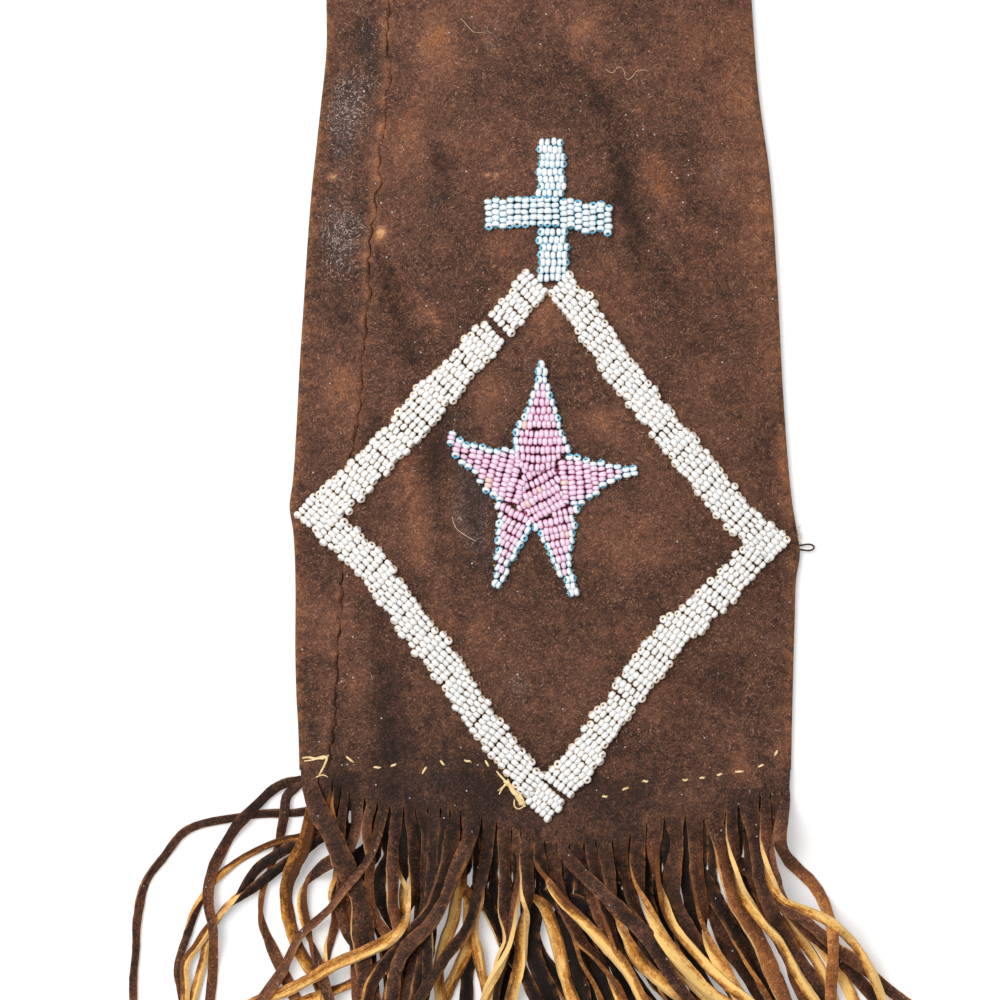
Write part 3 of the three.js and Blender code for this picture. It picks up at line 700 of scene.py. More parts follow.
# Small spots worn to the raw leather: place, half sizes
wornSpots = [
    (-59, 164.7, 1.5, 0.8), (-45.5, 148.8, 1.3, 1.9), (-13.6, 164.2, 0.8, 0.6), (-16.2, 164.6, 0.6, 0.6),
]
shade = {
    "wander": 2.5,
    "wanderSize": 7,
    "softness": 0.7,
    "field": (0.85, 0.75),  # tone and warmth
    "streak": (0.7, 0.55),
    "worn": 1.5,
    "hemDark": -0.28,
    "hemDarkSpan": (18, -6),
    "lipPlace": -0.7,
    "lipHalf": 1.4,
    "lipTone": 0.9,
    "lipRub": 0.25,
    "edgeRub": 0.7,
    "edgeReach": 1.1,
}


def hideToneAndShade(x, y):
    # how light and how warm the hide is at a place: its own tone and patches, with painted shade and
    # painted highlight along the folds and beside the beads
    tone, warm = 0.0, 0.0
    size = shade["wanderSize"]
    wanderX = x + shade["wander"] * ripple(x / size, y / size, 11)
    wanderY = y + shade["wander"] * ripple(x / size, y / size, 23)
    for fieldX, fieldY, halfX, halfY, light, orange in toneAndShadeFields:
        away = ((wanderX - fieldX) / halfX) ** 2 + ((wanderY - fieldY) / halfY) ** 2
        if away < 6:
            weight = math.exp(-away * shade["softness"])
            tone += shade["field"][0] * light * weight
            warm += shade["field"][1] * orange * weight
    for startX, startY, endX, endY, half, light, orange in toneAndShadeStreaks:
        away = distanceToLine(wanderX, wanderY, (startX, startY), (endX, endY)) / half
        if away < 2.6:
            weight = math.exp(-away * away * shade["softness"])
            tone += shade["streak"][0] * light * weight
            warm += shade["streak"][1] * orange * weight
    tone += shade["hemDark"] * smoothStep(y, *shade["hemDarkSpan"])
    for spotX, spotY, halfX, halfY in wornSpots:
        away = ((x - spotX) / halfX) ** 2 + ((y - spotY) / halfY) ** 2
        tone += shade["worn"] * math.exp(-away)
    return tone, warm


def seamWander(y):
    # the crack scallops between one stitch and the next
    scallop = abs(math.sin(math.pi * y / seam["stitch"] + 2 * ripple(y / 17, 0, 9)))
    waver = seam["waver"] * ripple(y / 2.1, 0, 5.5)
    return seam["scallop"] * (scallop - 0.6) * (0.7 + ripple(y / 11, 3, 0)) + waver


def pouchRow(y):
    # once round the pouch: seam, right fold, back, left fold, seam
    left, right = leftEdge(y), rightEdge(y)
    crack = seamLine(y) + seamWander(y)
    reach, steps = pouch["foldReach"], pouch["foldSteps"]
    pucker = seam["pucker"][0] + seam["pucker"][1] * ripple(y / 2.3, 4.4, 0)
    openness = min(1.3, max(0.1, seam["openness"][0] + seam["openness"][1] * ripple(y / 3.7, 8.8, 0)))
    floor = pouch["thickness"] + 0.3
    ring = []

    def lip(offset, rise, direction):
        x = crack + direction * offset
        fullness = pucker * (seam["leftLip"] if direction < 0 else seam["rightLip"])
        z = hideHeight(x, y) + rise * (fullness if rise > 0 else openness)
        ring.append((x, y, max(z, floor)))

    def wall(start, end, count, last):
        for i in range(1, last + 1):
            x = mix(start, end, i / count)
            ring.append((x, y, hideHeight(x, y)))

    def fold(middle, top, turn):
        for i in range(1, steps + 1):
            angle = math.pi * (turn - i / steps)
            ring.append((middle + reach * math.cos(angle), y, top / 2 * (1 + math.sin(angle))))

    for offset, rise in seam["lips"]:
        lip(offset, rise, 1)
    lipReach = seam["lips"][-1][0]
    wall(crack + lipReach, right - reach, pouch["frontColumns"], pouch["frontColumns"])
    fold(right - reach, ring[-1][2], 0.5)
    count = pouch["backColumns"]
    for i in range(1, count + 1):
        x = mix(right - reach, left + reach, i / count)
        rise = max(0.0, ripple(x / 16, y / 18, 31)) * smoothStep(y, 10, 60)
        ring.append((x, y, pouch["backWave"] * rise * (1 - abs(2 * i / count - 1) ** 4)))
    fold(left + reach, hideHeight(left + reach, y), -0.5)
    wall(left + reach, crack - lipReach, pouch["leftColumns"], pouch["leftColumns"] - 1)
    for offset, rise in reversed(seam["lips"]):
        lip(offset, rise, -1)
    return ring


def pouchHeights():
    seen = round((pouch["seenLength"] - pouch["foot"]) / pouch["seenStep"])
    hidden = round((pouch["length"] - pouch["seenLength"]) / pouch["hiddenStep"])
    low = [mix(pouch["foot"], pouch["seenLength"], i / seen) for i in range(seen)]
    return low + [mix(pouch["seenLength"], pouch["length"], i / hidden) for i in range(hidden + 1)]


def shadeHide(obj):
    # tone with its painted shade and highlight, warmth and rubbed edges from the place of each point; the
    # back is plain
    points = np.empty(len(obj.data.vertices) * 3, np.float32)
    obj.data.vertices.foreach_get("co", points)
    points = points.reshape(-1, 3) / mm
    tones, warms, rubs = [], [], []
    for x, y, z in points:
        tone, warm = hideToneAndShade(x, y) if z > 1 else (0.1 * ripple(x / 9, y / 9, 2), 0)
        edge = min(x - leftEdge(y), rightEdge(y) - x)
        lip = abs(x - seamLine(y) - shade["lipPlace"]) / shade["lipHalf"]
        lipWear = math.exp(-lip * lip) * mix(0.25, 1, smoothStep(y, 90, 150))
        lipWear = max(0, lipWear * (0.5 + ripple(y / 4, 1, 1)))
        tones.append(tone + shade["lipTone"] * lipWear)
        warms.append(warm)
        edgeWear = math.exp(-max(0, edge) / shade["edgeReach"])
        rubs.append(shade["edgeRub"] * edgeWear + shade["lipRub"] * lipWear)
    addAttribute(obj, "tone", tones)
    addAttribute(obj, "warm", warms)
    addAttribute(obj, "rub", rubs)
    addAttribute(obj, "strand", np.zeros(len(rubs)))
    addAttribute(obj, "fleshTone", np.zeros(len(rubs)))


pouchPiece = gridSheet("pouch_hide", np.array([pouchRow(y) for y in pouchHeights()]))
shadeHide(pouchPiece)
setMaterials(pouchPiece, hideGrain, hideFlesh, hideCut)
giveThickness(pouchPiece, pouch["thickness"], -1)
finishPiece(pouchPiece, "hide", "hide_pouch")
print("pouch made:", len(pouchPiece.data.polygons), "faces")


# Fringe: the hem of each layer is slit into strips, which fan out and lie over each other

fringe = {
    "thickness": 1.3,
    "frontMiddle": 2.65,
    "backMiddle": 0.68,
    "length": 138,
    "leastRest": 20,
    "taper": 0.8,
    "curlIn": 0.14,
    "step": 1.5,
    "columns": [-1, -0.82, -0.35, 0.35, 0.82, 1],
    "backDrop": 13,
    "roll": (0.1, 0.6),
    "tilt": (14, 34),
    "steepest": 35,
    "twist": 22,
    "slitGap": 0.34,
    "slitReach": 9,
    "widthReach": 7,
    "unevenWidth": 0.3,
    "wander": 0.9,
    "pile": 12,  # above this height strips are pressed down
    "pressed": 0.6,
    "rollLift": 0.1,
    "tiltLift": 0.25,
    "leastLift": 0.9,
    # ripples along a strip: size, change from strip to strip, layer
    "rollRipple": (10, 1.3, 9),
    "widthRipple": (8, 1.7, 0),
    "fineRipple": (2.4, 2.9, 0),
    "swayRipple": (13, 2.3, 5),
    "frontWidth": 1.02,
    # the middle back strips are made wider and darker so that the gaps between the front strips show dark:
    # painted shade
    "backWidth": 1.2,
    "grainTone": -0.46,
    "backShade": -0.7,
}
slitTop = curveThrough([
    (-67.6, -0.5), (-59, -1), (-54, -4), (-43, -7.7), (-29, -8.5), (-17.6, -11), (-7, -14.6), (3, -18),
    (10.5, -18), (23, -16), (28, -13), (33, -11), (49.5, -10), (53, -7.7), (59, -4), (65, -3.6),
    (67.4, -0.5),
])
frontSlits = [
    -67.6, -62.6, -58.9, -56.7, -54.2, -50, -46.5, -43, -39.3, -36, -32.5, -29, -26.4, -23.6, -17.6,
    -13.5, -9.4, -6.9, -3.6, -0.3, 3, 6.6, 10.5, 13.8, 18.4, 23.1, 27.8, 32.7, 38.5, 43.7, 49.5, 53.1,
    59.1, 61.9, 65.2, 67.4,
]
# Front strips from left to right: order of laying, width, tone, and the route with its turn in degrees.
# At no turn the grain side is up, at 180 the flesh side.
frontStrips = [
    (22, 5.6, -0.1, [(-64, -6, 5), (-61.8, -11, 8), (-57.5, -18, 10), (-53.5, -27, 14), (-51, -36, 12),
        (-50, -44, 10), (-49.5, -52.5, 10), (-47, -62, 0)]),
    (1, 3.2, -0.2, [(-60.6, -7, -60), (-59.5, -14, -150), (-57, -22, -150), (-54.5, -31, 0),
        (-53, -42, 0), (-51.5, -62, 0)]),
    (2, 2.4, -0.1, [(-58, -9, 60), (-57.4, -15, 150), (-57, -23.5, 150), (-59, -33, 60), (-58.5, -41, 20),
        (-60, -49.5, 60), (-61, -62, 120)]),
    (3, 2.2, 0, [(-55.5, -11, 0), (-56.5, -20.5, 10), (-56.5, -34.5, 0), (-54, -44, -30), (-50, -51, 0),
        (-48, -62, 30)]),
    (4, 3, 0, [(-53.5, -18, 0), (-61, -25, 20), (-66, -30.5, 120), (-67.5, -36.5, 180), (-66, -44, 150),
        (-62.5, -52.5, 40), (-59.5, -62, 0)]),
    (5, 2.5, 0.2, [(-49.5, -15, 20), (-48, -23.5, 30), (-48.5, -31.5, 30), (-47, -39.5, 20),
        (-42.5, -46, 0), (-41, -52.5, 0), (-39, -62, 0)]),
    (35, 2.5, 0.3, [(-46, -16.5, -20), (-49, -24, -35), (-54, -30.5, -40), (-61, -38, -35),
        (-67.5, -44.5, -30), (-72, -52.5, -20), (-78, -62, 0)]),
    (6, 3.3, 0, [(-42, -18, 15), (-42.5, -27.5, 20), (-42.5, -36, 25), (-41, -44, 10), (-42, -51.5, 60),
        (-43.5, -62, 120)]),
    (34, 3.3, 0, [(-37.5, -18, 25), (-36.5, -27.5, 35), (-37, -34.5, 60), (-40.5, -42, 150),
        (-49, -48, 180), (-59.5, -53, 180), (-71, -59.5, 180)]),
    (7, 3, -0.1, [(-32.5, -18, 0), (-33, -27.5, 0), (-33.5, -36, 10), (-35, -47, 20), (-37, -54, 30),
        (-38, -62, 20)]),
    (8, 3.2, -0.1, [(-30.5, -18, 0), (-31, -26, 0), (-32, -34.5, 0), (-33.5, -45.5, 20),
        (-34.5, -53.5, 40), (-36.5, -62, 60)]),
    (9, 2.6, -0.1, [(-28, -18, 0), (-29, -26, 0), (-30.5, -34, 0), (-32, -42.5, 0), (-32.5, -53.5, 20),
        (-34, -62, 40)]),
    (31, 3.9, 0, [(-26.5, -20.5, 10), (-29, -29.5, 10), (-32.5, -37, 10), (-38, -43.5, 0),
        (-43.5, -50.5, 0), (-47.5, -56.5, 20), (-49, -62, 30)]),
    (32, 3.9, 0.1, [(-22, -19, -20), (-25, -26.5, -30), (-28, -33.5, -30), (-32.5, -40.5, -25),
        (-38, -46, -20), (-41, -52.5, -10), (-42.5, -62, 0)]),
    (33, 3.3, 0, [(-16, -20.5, -20), (-17.5, -29, -30), (-20, -36.5, -35), (-23, -44, -35),
        (-27.5, -50, -30), (-31.5, -56, -20), (-35, -62, -10)]),
    (10, 3.6, 0.15, [(-12, -23.5, 0), (-11.5, -34.5, 10), (-10, -44, 20), (-12.5, -51.5, 30),
        (-14, -62, 40)]),
    (23, 2.5, 0.3, [(-8, -19, -20), (-7, -25, -40), (-8, -33, -40), (-9.5, -42.5, -60), (-12, -50, -100),
        (-16, -58, -140), (-17.5, -62, -160)]),
    (24, 4.1, 0.25, [(-5, -25, 10), (-5.5, -34.5, 50), (-6.5, -42.5, 140), (-7.5, -51.5, 170),
        (-9.5, -62, 180)]),
    (25, 3.3, 0, [(-1.5, -25, 30), (3, -33.5, 150), (10, -40, 180), (17, -46, 180), (22.5, -53, 170),
        (27, -62, 150)]),
    (13, 3.6, 0, [(2, -26, 25), (5, -36, 35), (9.5, -45, 40), (15, -51.5, 60), (18.5, -58, 120),
        (20, -62, 150)]),
    (26, 3.6, 0.05, [(7, -24.5, 0), (14.5, -31, 0), (21.5, -37, 10), (27, -43, 20), (32.5, -51.5, 30),
        (39.5, -62, 20)]),
    (11, 3.6, -0.25, [(11, -27.5, 0), (14, -37, 0), (19, -48, 20), (24.5, -56.5, 60), (28.5, -62, 90)]),
    (12, 3.2, -0.2, [(13.5, -26, 0), (15.5, -34.5, 0), (18.5, -45.5, 30), (22.5, -53.5, 60),
        (26, -62, 80)]),
    (14, 3.6, 0, [(17, -25.5, 30), (18.5, -33.5, 40), (21.5, -43, 150), (26.5, -51.5, 180),
        (32, -57, 180), (38, -62, 180)]),
    (15, 3.3, 0, [(21.5, -26, 10), (24, -34.5, 30), (29, -44, 100), (34.5, -51.5, 160), (41.5, -58, 180),
        (46, -62, 180)]),
    (17, 3.9, 0.05, [(25, -23.5, 10), (26, -31.5, 60), (30, -41, 150), (36, -50, 180), (42.5, -57, 180),
        (48.5, -62, 180)]),
    (27, 3.3, 0.1, [(30, -22, -40), (31.5, -31.5, -90), (34.5, -40.5, -160), (40.5, -48, -180),
        (48.5, -55.5, -180), (56.5, -62, -180)]),
    (16, 4.1, 0, [(36, -20.5, 0), (35, -30.5, 10), (37, -38.5, 30), (42.5, -48, 60), (49, -55, 90),
        (56, -62, 120)]),
    (18, 4.4, 0.2, [(41.5, -20.5, 40), (42, -31.5, 50), (43.5, -42.5, 80), (47.5, -51.5, 150),
        (53.5, -62, 180)]),
    (28, 4.7, -0.05, [(48.5, -19, 0), (50, -28.5, 10), (54.5, -38.5, 10), (59, -47.5, 0), (63.5, -57, 0),
        (66, -62, 20)]),
    (29, 3, 0.1, [(51.5, -19, 30), (53.5, -30.5, 110), (59, -39.5, 180), (65, -48, 180),
        (70.5, -56.5, 170), (74, -62, 150)]),
    (19, 4.7, -0.1, [(58, -18, -25), (59.5, -29, -30), (62.5, -38.5, -30), (67, -47.5, -25),
        (72, -55, -10), (76, -62, 0)]),
    (30, 3, 0.1, [(60, -18, 20), (61, -27, 110), (64.5, -33, 180), (70.5, -36, 180), (78, -40.2, 180),
        (84, -46, 180), (88, -53, 150), (92.4, -62, 120)]),
    (20, 3.5, 0.1, [(62.4, -11, 0), (60.8, -18, 0), (61.3, -26, 10), (64.6, -34, 20), (71, -39.5, 20),
        (79, -46.5, 10), (87, -53, 0), (97.5, -62, 20)]),
    (21, 3.2, 0.3, [(65.6, -9, 2), (64.2, -14, 0), (64, -18, 0), (66.6, -23, 0), (70.2, -26.6, 5),
        (74, -30.2, 5), (76.8, -35, 10), (78, -41, 10), (78.5, -52.5, 10), (78, -62, 0)]),
]
# Back strips: order of laying, width, tone, then the route from its root
backStrips = [
    (32, 2.5, -0.5, [(-66.5, -1.2, 0), (-69.5, -1.6, 20), (-73, -2.4, 40), (-77, -5, 30),
        (-82, -10.5, 20), (-89, -20, 10), (-93, -31.5, 0), (-91.5, -42.5, -20), (-92, -53.5, 0),
        (-93, -62, 20)]),
    (2, 2.5, 0, [(-65, -2, 0), (-69, -3.5, 10), (-72, -6.5, 20), (-72.5, -12.5, 30), (-75, -21, 60),
        (-78, -29.5, 90), (-79, -35, 110), (-78, -41, 60), (-74.5, -50.5, 20), (-70, -60.5, 0)]),
    (6, 4.4, -0.4, [(-63, -3, 60), (-64.5, -10, 160), (-66.5, -19, 170), (-69.5, -26, 170),
        (-71.8, -32.5, 175), (-71.5, -39.5, 170), (-69.5, -47, 170), (-65.5, -54, 160),
        (-61.5, -62, 150)]),
    (1, 2.2, 0.1, [(-61, -2, 0), (-62, -8.5, 10), (-67.5, -10, 20), (-78, -11.5, 20), (-91, -13, 10),
        (-100.5, -16, 0), (-106.5, -23.5, 20), (-111.5, -31.5, 30), (-113.5, -41, 20), (-113.5, -51, 10),
        (-114, -62, 20)]),
    (3, 2.2, -0.25, [(-59, -3, 0), (-59.5, -12.5, 60), (-64.5, -17, 140), (-72, -18, 170),
        (-80, -20.5, 170), (-88, -26, 150), (-95, -34.5, 60), (-99.5, -44, 10), (-102, -53.5, 0),
        (-100.5, -62, 0)]),
    (0.7, 3.4, -0.1, [(-56.7, -3.5, 0), (-57, -10, 0), (-55, -20, 0), (-52.5, -30, 0), (-50.5, -42, 0),
        (-48.5, -62, 0)]),
    (4, 2.2, -0.15, [(-54.3, -3.5, 0), (-57, -14, 0), (-64.5, -18.5, 0), (-72, -21, 10), (-79, -25.5, 10),
        (-84, -32, 30), (-89, -37.5, 110), (-93, -44.5, 180), (-95.5, -53, 180), (-97.5, -62, 170)]),
    (5, 2.2, 0.1, [(-51.7, -4, 0), (-55.5, -13, 0), (-62.5, -17.5, 0), (-69, -23, 10), (-76.5, -28, 20),
        (-84, -34, 40), (-91, -40, 150), (-96, -48, 180), (-99.5, -53, 180), (-99.5, -62, 170)]),
    (0.8, 3.4, -0.1, [(-49.9, -5, 0), (-51, -14, 0), (-52, -24, 0), (-51, -34, 0), (-49.5, -46, 0),
        (-47.5, -62, 0)]),
    (7, 2.8, 0, [(-47.2, -6, 0), (-49.5, -17, 0), (-49, -26, 0), (-48.5, -36, 0), (-45, -46, 30),
        (-43, -62, 60)]),
    (8, 3, 0.1, [(-43.5, -7, 0), (-45.3, -20.5, 0), (-46, -29, 0), (-43.5, -38.5, 20), (-40.5, -45.5, 30),
        (-39.5, -53.5, 20), (-40.5, -62, 0)]),
    (9, 2.8, 0.1, [(-39.5, -7.5, 0), (-39.5, -20.5, 60), (-39, -34.5, 170), (-39.5, -44, 180),
        (-44.5, -51.5, 180), (-53.5, -57.5, 180), (-64.5, -62, 170)]),
    (10, 3.2, 0, [(-34.5, -8, 0), (-33.5, -20, 0), (-34, -34, 0), (-36, -48, 20), (-39, -62, 40)]),
    (11, 3.2, 0, [(-29.5, -8.5, 0), (-30, -20, 0), (-31.5, -34, 0), (-33, -46, 20), (-35, -62, 0)]),
    (12, 3.3, 0.1, [(-25, -9, 0), (-23, -23.5, 100), (-21.5, -36, 180), (-21.5, -45.5, 180),
        (-24, -53.5, 180), (-28, -62, 170)]),
    (13, 2.8, 0.1, [(-21.5, -9.5, 0), (-22, -20.5, 120), (-23.5, -30.5, 180), (-25.5, -40, 180),
        (-28.5, -47.5, 180), (-30, -55, 170), (-29.5, -62, 160)]),
    (14, 3, 0.2, [(-19, -10, 0), (-20, -23.5, 20), (-17.5, -34.5, 40), (-13.5, -42.5, 40),
        (-10, -49.5, 30), (-6, -56.5, 20), (-3, -62, 0)]),
    (0.4, 3.4, -0.1, [(-17.5, -10, 0), (-19, -24, 0), (-20.5, -38, 0), (-21.5, -50, 10), (-22, -62, 0)]),
    (15, 2.5, 0.1, [(-16.5, -10, 0), (-17.5, -23.5, 90), (-18.5, -34.5, 170), (-20, -44, 170),
        (-18.5, -53, 170), (-16.5, -62, 150)]),
    (0.45, 2.8, 0, [(-14.2, -11, 0), (-14.8, -20, 0), (-14.9, -28, 0), (-13.6, -36, 0), (-11.4, -44, 0),
        (-9.8, -52, 0), (-11, -62, 0)]),
    (16, 3.2, 0, [(-12, -11.5, 0), (-11.5, -24, 0), (-11, -35, 20), (-10.5, -46, 60), (-13, -62, 90)]),
    (17, 3.3, 0.1, [(-6.5, -13.5, 0), (-4, -26, 60), (-0.5, -36, 170), (2, -44.5, 180), (4.5, -53.5, 180),
        (7.5, -62, 170)]),
    (0.1, 3.6, 0, [(-3.5, -14, 0), (-5, -30, 0), (-4.5, -40, 20), (-2.5, -48, 40), (1, -54, 60),
        (6, -62, 40)]),
    (0.15, 4.2, 0, [(-2.2, -14, 0), (-2, -30, 0), (-3.4, -42, 0), (-3.2, -49, 0), (-1.6, -55, 0),
        (1.2, -62, 0)]),
    (18, 3.2, 0, [(-1, -14, 0), (1.5, -26, 0), (4.5, -36, 20), (9, -46, 60), (15, -62, 90)]),
    (0.2, 3.2, -0.1, [(1.5, -15, 0), (4.5, -30, 0), (6, -38, 0), (8, -46, 10), (11, -54, 0),
        (14.5, -62, 0)]),
    (0.25, 3.6, 0, [(2.8, -15, 0), (3, -28, 0), (4.5, -38, 0), (6.5, -48, 0), (8.5, -56, 0),
        (10.5, -62, 0)]),
    (19, 3.4, 0, [(4, -15, 0), (6.5, -26, 0), (10, -36, 0), (16, -48, 20), (24, -62, 20)]),
    (0.35, 3.2, 0, [(6.5, -15, 0), (8, -30, 0), (10.5, -42, 0), (13.5, -52, 0), (17, -62, 0)]),
    (20, 3.4, 0, [(9, -15, 0), (11.5, -27.5, 0), (15, -38, 0), (20, -50, 20), (28, -62, 40)]),
    (21, 3, 0, [(14, -15, 0), (17.5, -38, 20), (25, -51, 40), (34, -62, 60)]),
    (22, 3.9, 0, [(19, -14.5, 0), (21, -28, 0), (24, -40, 20), (29, -54, 20), (34, -62, 30)]),
    (23, 3.3, 0, [(23.5, -14, 0), (23.5, -34, 0), (28, -49, 30), (34, -62, 60)]),
    (24, 3, 0, [(28.5, -12, 0), (28, -36, 20), (35, -50, 100), (43, -62, 160)]),
    (0.6, 3.8, 0, [(31, -12, 0), (29.5, -28, 0), (30.5, -36, 0), (33, -43, 0), (37.5, -51, 0),
        (43, -62, 0)]),
    (25, 3.3, 0, [(33.5, -11, 0), (33.5, -34, 0), (39, -49, 20), (46, -62, 30)]),
    (26, 3, 0, [(39, -9.5, 0), (39, -33, 0), (44, -49, 40), (51, -62, 90)]),
    (27, 3, 0.1, [(43.5, -8.5, 0), (44, -20.5, 0), (45.5, -31.5, 10), (50, -40.5, 30), (54.5, -49.5, 60),
        (61, -62, 90)]),
    (0.3, 4, 0, [(46, -8, 0), (45.5, -30, 0), (47, -38, 0), (49.5, -45, 0), (53, -51, 20), (56, -56, 20),
        (60, -62, 0)]),
    (28, 3.2, 0, [(48.5, -8, 0), (50, -20, 0), (52.5, -31, 0), (57, -42, 20), (65, -62, 30)]),
    (0.55, 2.8, 0, [(49.8, -7.5, 0), (50.5, -24, 0), (51.5, -34, 0), (54, -43, 0), (57.5, -52, 0),
        (62, -62, 0)]),
    (0.5, 2.6, 0, [(51, -7, 0), (54.5, -26, 0), (57, -32, 0), (60, -38, 0), (65, -47, 0), (71, -58, 0)]),
    (29, 3.3, 0.1, [(53.5, -6, 0), (56.5, -19, 0), (61, -31.5, 20), (66.5, -40, 100), (72, -48, 180),
        (76, -55, 170), (79, -62, 160)]),
    (0.65, 3.4, 0, [(55.8, -5, 0), (55.8, -16, 0), (56.2, -24, 0), (58.5, -32, 0), (62, -40, 0),
        (67, -50, 0), (72, -62, 0)]),
    (30, 3.3, 0.2, [(58, -4.5, 0), (59.5, -18, 30), (62.5, -30.5, 80), (69, -40.5, 110), (76, -48, 130),
        (81.5, -55, 150), (85, -62, 160)]),
    (31, 2.8, 0.1, [(63, -3.5, 0), (59.5, -18, 0), (61.5, -28, 0), (67, -37, 10), (76, -46, 20),
        (89, -60, 20)]),
]
# Height of what lies on the ground so far, in square cells
ground = {"step": 0.5, "low": (-135, -180), "cells": np.zeros((540, 400))}


def groundCells(x, y):
    lowX, lowY = ground["low"]
    i = np.clip(((x - lowX) / ground["step"]).astype(int), 0, ground["cells"].shape[0] - 1)
    j = np.clip(((y - lowY) / ground["step"]).astype(int), 0, ground["cells"].shape[1] - 1)
    return i, j


def smoothRoute(points):
    # close points along a smooth line through the route, with their distance along it
    knots = np.array(points, float)
    ends = np.vstack([2 * knots[0] - knots[1], knots, 2 * knots[-1] - knots[-2]])
    line = []
    for a, b, c, d in zip(ends, ends[1:], ends[2:], ends[3:]):
        bend, swing = 2 * a - 5 * b + 4 * c - d, 3 * b - a - 3 * c + d
        for t in np.linspace(0, 1, 16, endpoint=False):
            line.append(0.5 * (2 * b + (c - a) * t + bend * t ** 2 + swing * t ** 3))
    line.append(knots[-1])
    line = np.array(line)
    gaps = np.hypot(*np.diff(line[:, :2], axis=0).T)
    return line, np.concatenate([[0], np.cumsum(gaps)])


def extendRoute(route, length):
    # past the last drawn point the strip runs on and bends down until it has its full length
    points = np.array([place[:2] for place in route], float)
    drawn = np.hypot(*np.diff(points, axis=0).T).sum()
    heading = points[-1] - points[-2]
    heading /= np.hypot(*heading)
    rest = max(length - drawn, fringe["leastRest"])
    bend = heading + np.array([0, -0.5])
    bend /= np.hypot(*bend)
    knee = points[-1] + heading * rest * 0.4
    tip = knee + bend * rest * 0.6
    turn = route[-1][2]
    return route + [(*knee, turn + either(25)), (*tip, turn + either(40))]


def blur(values, reach):
    kernel = np.exp(-0.5 * (np.arange(-3 * reach, 3 * reach + 1) / reach) ** 2)
    padded = np.pad(values, 3 * reach, mode="edge")
    return np.convolve(padded, kernel / kernel.sum(), mode="valid")


def slitEnd(x, isFront):
    # the top of a slit; between its corners the back is cut less far up
    top = slitTop(x)
    if not isFront:
        top -= fringe["backDrop"] * smoothStep(x, -58, -46) * smoothStep(x, 66, 56)
    return top


def slitOpening(depth):
    return max(0, min(fringe["slitGap"], 0.1 * depth))


def hemRows(strip):
    # the hem above the strip, whose edges sink where the slits open
    rows = []
    for y in range(1, strip["lowest"] - 1, -1):
        left = strip["left"] + slitOpening(strip["leftSlit"] - y)
        right = strip["right"] - slitOpening(strip["rightSlit"] - y)
        row = []
        for u in fringe["columns"]:
            x = mix(right, left, (u + 1) / 2)
            z = strip["layer"]
            if strip["isFront"]:
                slit = strip["leftSlit"] if u > 0 else strip["rightSlit"]
                drop = strip["rolled"] * u * u - u * strip["rootHalf"] * math.sin(strip["tilt"])
                drop = drop * smoothStep(slit - y, 0, fringe["slitReach"])
                z = hideHeight(x, y) - fringe["thickness"] / 2 - drop
            row.append((x, y, z))
        rows.append(row)
    return rows


def ripplesAlong(strip, at, size, change, layer):
    across = strip["left"] * change
    return np.array([ripple(place / size, across, layer + strip["layer"]) for place in at])


def stripLine(strip, route, width):
    # centre line, turn and half width of the free part
    lowest = strip["lowest"]
    root = ((strip["left"] + strip["right"]) / 2, lowest, 0)
    near = [place for place in route if math.hypot(place[0] - root[0], place[1] - root[1]) > 4]
    if lowest < -12:
        near = [place for place in near if place[1] < lowest - 3]
    start = [root] if near[0][1] > lowest - 4 else [root, (root[0], lowest - 2, 0)]
    line, along = smoothRoute(extendRoute(start + near, fringe["length"] + min(0, lowest + 12)))
    at = np.linspace(0, along[-1], int(along[-1] / fringe["step"]) + 1)
    centreX, centreY, turn = (np.interp(at, along, line[:, k]) for k in range(3))
    settle = np.clip(at / fringe["widthReach"], 0, 1)
    settle = settle * settle * (3 - 2 * settle)
    roll = ripplesAlong(strip, at, *fringe["rollRipple"])
    turn = np.radians(blur(turn, 2) + fringe["twist"] * roll * settle)
    headX, headY = np.gradient(centreX), np.gradient(centreY)
    size = np.hypot(headX, headY)
    headX, headY = headX / size, headY / size
    half = strip["rootHalf"] + (width / 2 - strip["rootHalf"]) * settle
    half = half * (1 - (1 - fringe["taper"]) * at / along[-1])
    half = half * (1 - fringe["curlIn"] * np.clip(np.abs(turn) - 1, 0, 1.4) / 1.4)
    uneven = ripplesAlong(strip, at, *fringe["widthRipple"])
    uneven = uneven + 0.5 * ripplesAlong(strip, at, *fringe["fineRipple"])
    half = half * (1 + fringe["unevenWidth"] * uneven * settle)
    sway = ripplesAlong(strip, at, *fringe["swayRipple"])
    return {
        "x": centreX + headY * sway * fringe["wander"] * settle,
        "y": centreY - headX * sway * fringe["wander"] * settle,
        "headX": headX,
        "headY": headY,
        "turn": turn,
        "half": half,
        "free": np.clip(at / fringe["slitReach"], 0, 1),
    }


def restHeight(strip, line, hemHeight):
    # the strip rests on whatever it crosses
    thick, half, free = fringe["thickness"], line["half"], line["free"]
    flatness, steepness = np.abs(np.cos(line["turn"])), np.abs(np.sin(line["turn"]))
    reach = np.linspace(-1, 1, 9)[:, None] * (half * flatness + 0.5 * thick * steepness)
    feet = groundCells(line["x"] + line["headY"] * reach, line["y"] - line["headX"] * reach)
    support = ground["cells"][feet].max(axis=0)
    wide = np.array([support[max(0, i - 2):i + 3].max() for i in range(len(support))])
    lift = half * steepness + (0.5 * thick + fringe["rollLift"] * strip["rolled"]) * flatness
    lift = lift + fringe["tiltLift"] * half * abs(math.sin(strip["tilt"]))
    height = blur(np.maximum(wide, support) + lift, 2)
    height = np.maximum(height, support + lift * fringe["leastLift"])
    pile = fringe["pile"]
    height = np.where(height > pile, pile + (height - pile) * fringe["pressed"], height)
    return hemHeight + (np.maximum(height, 0.5 * thick) - hemHeight) * free * free * (3 - 2 * free)


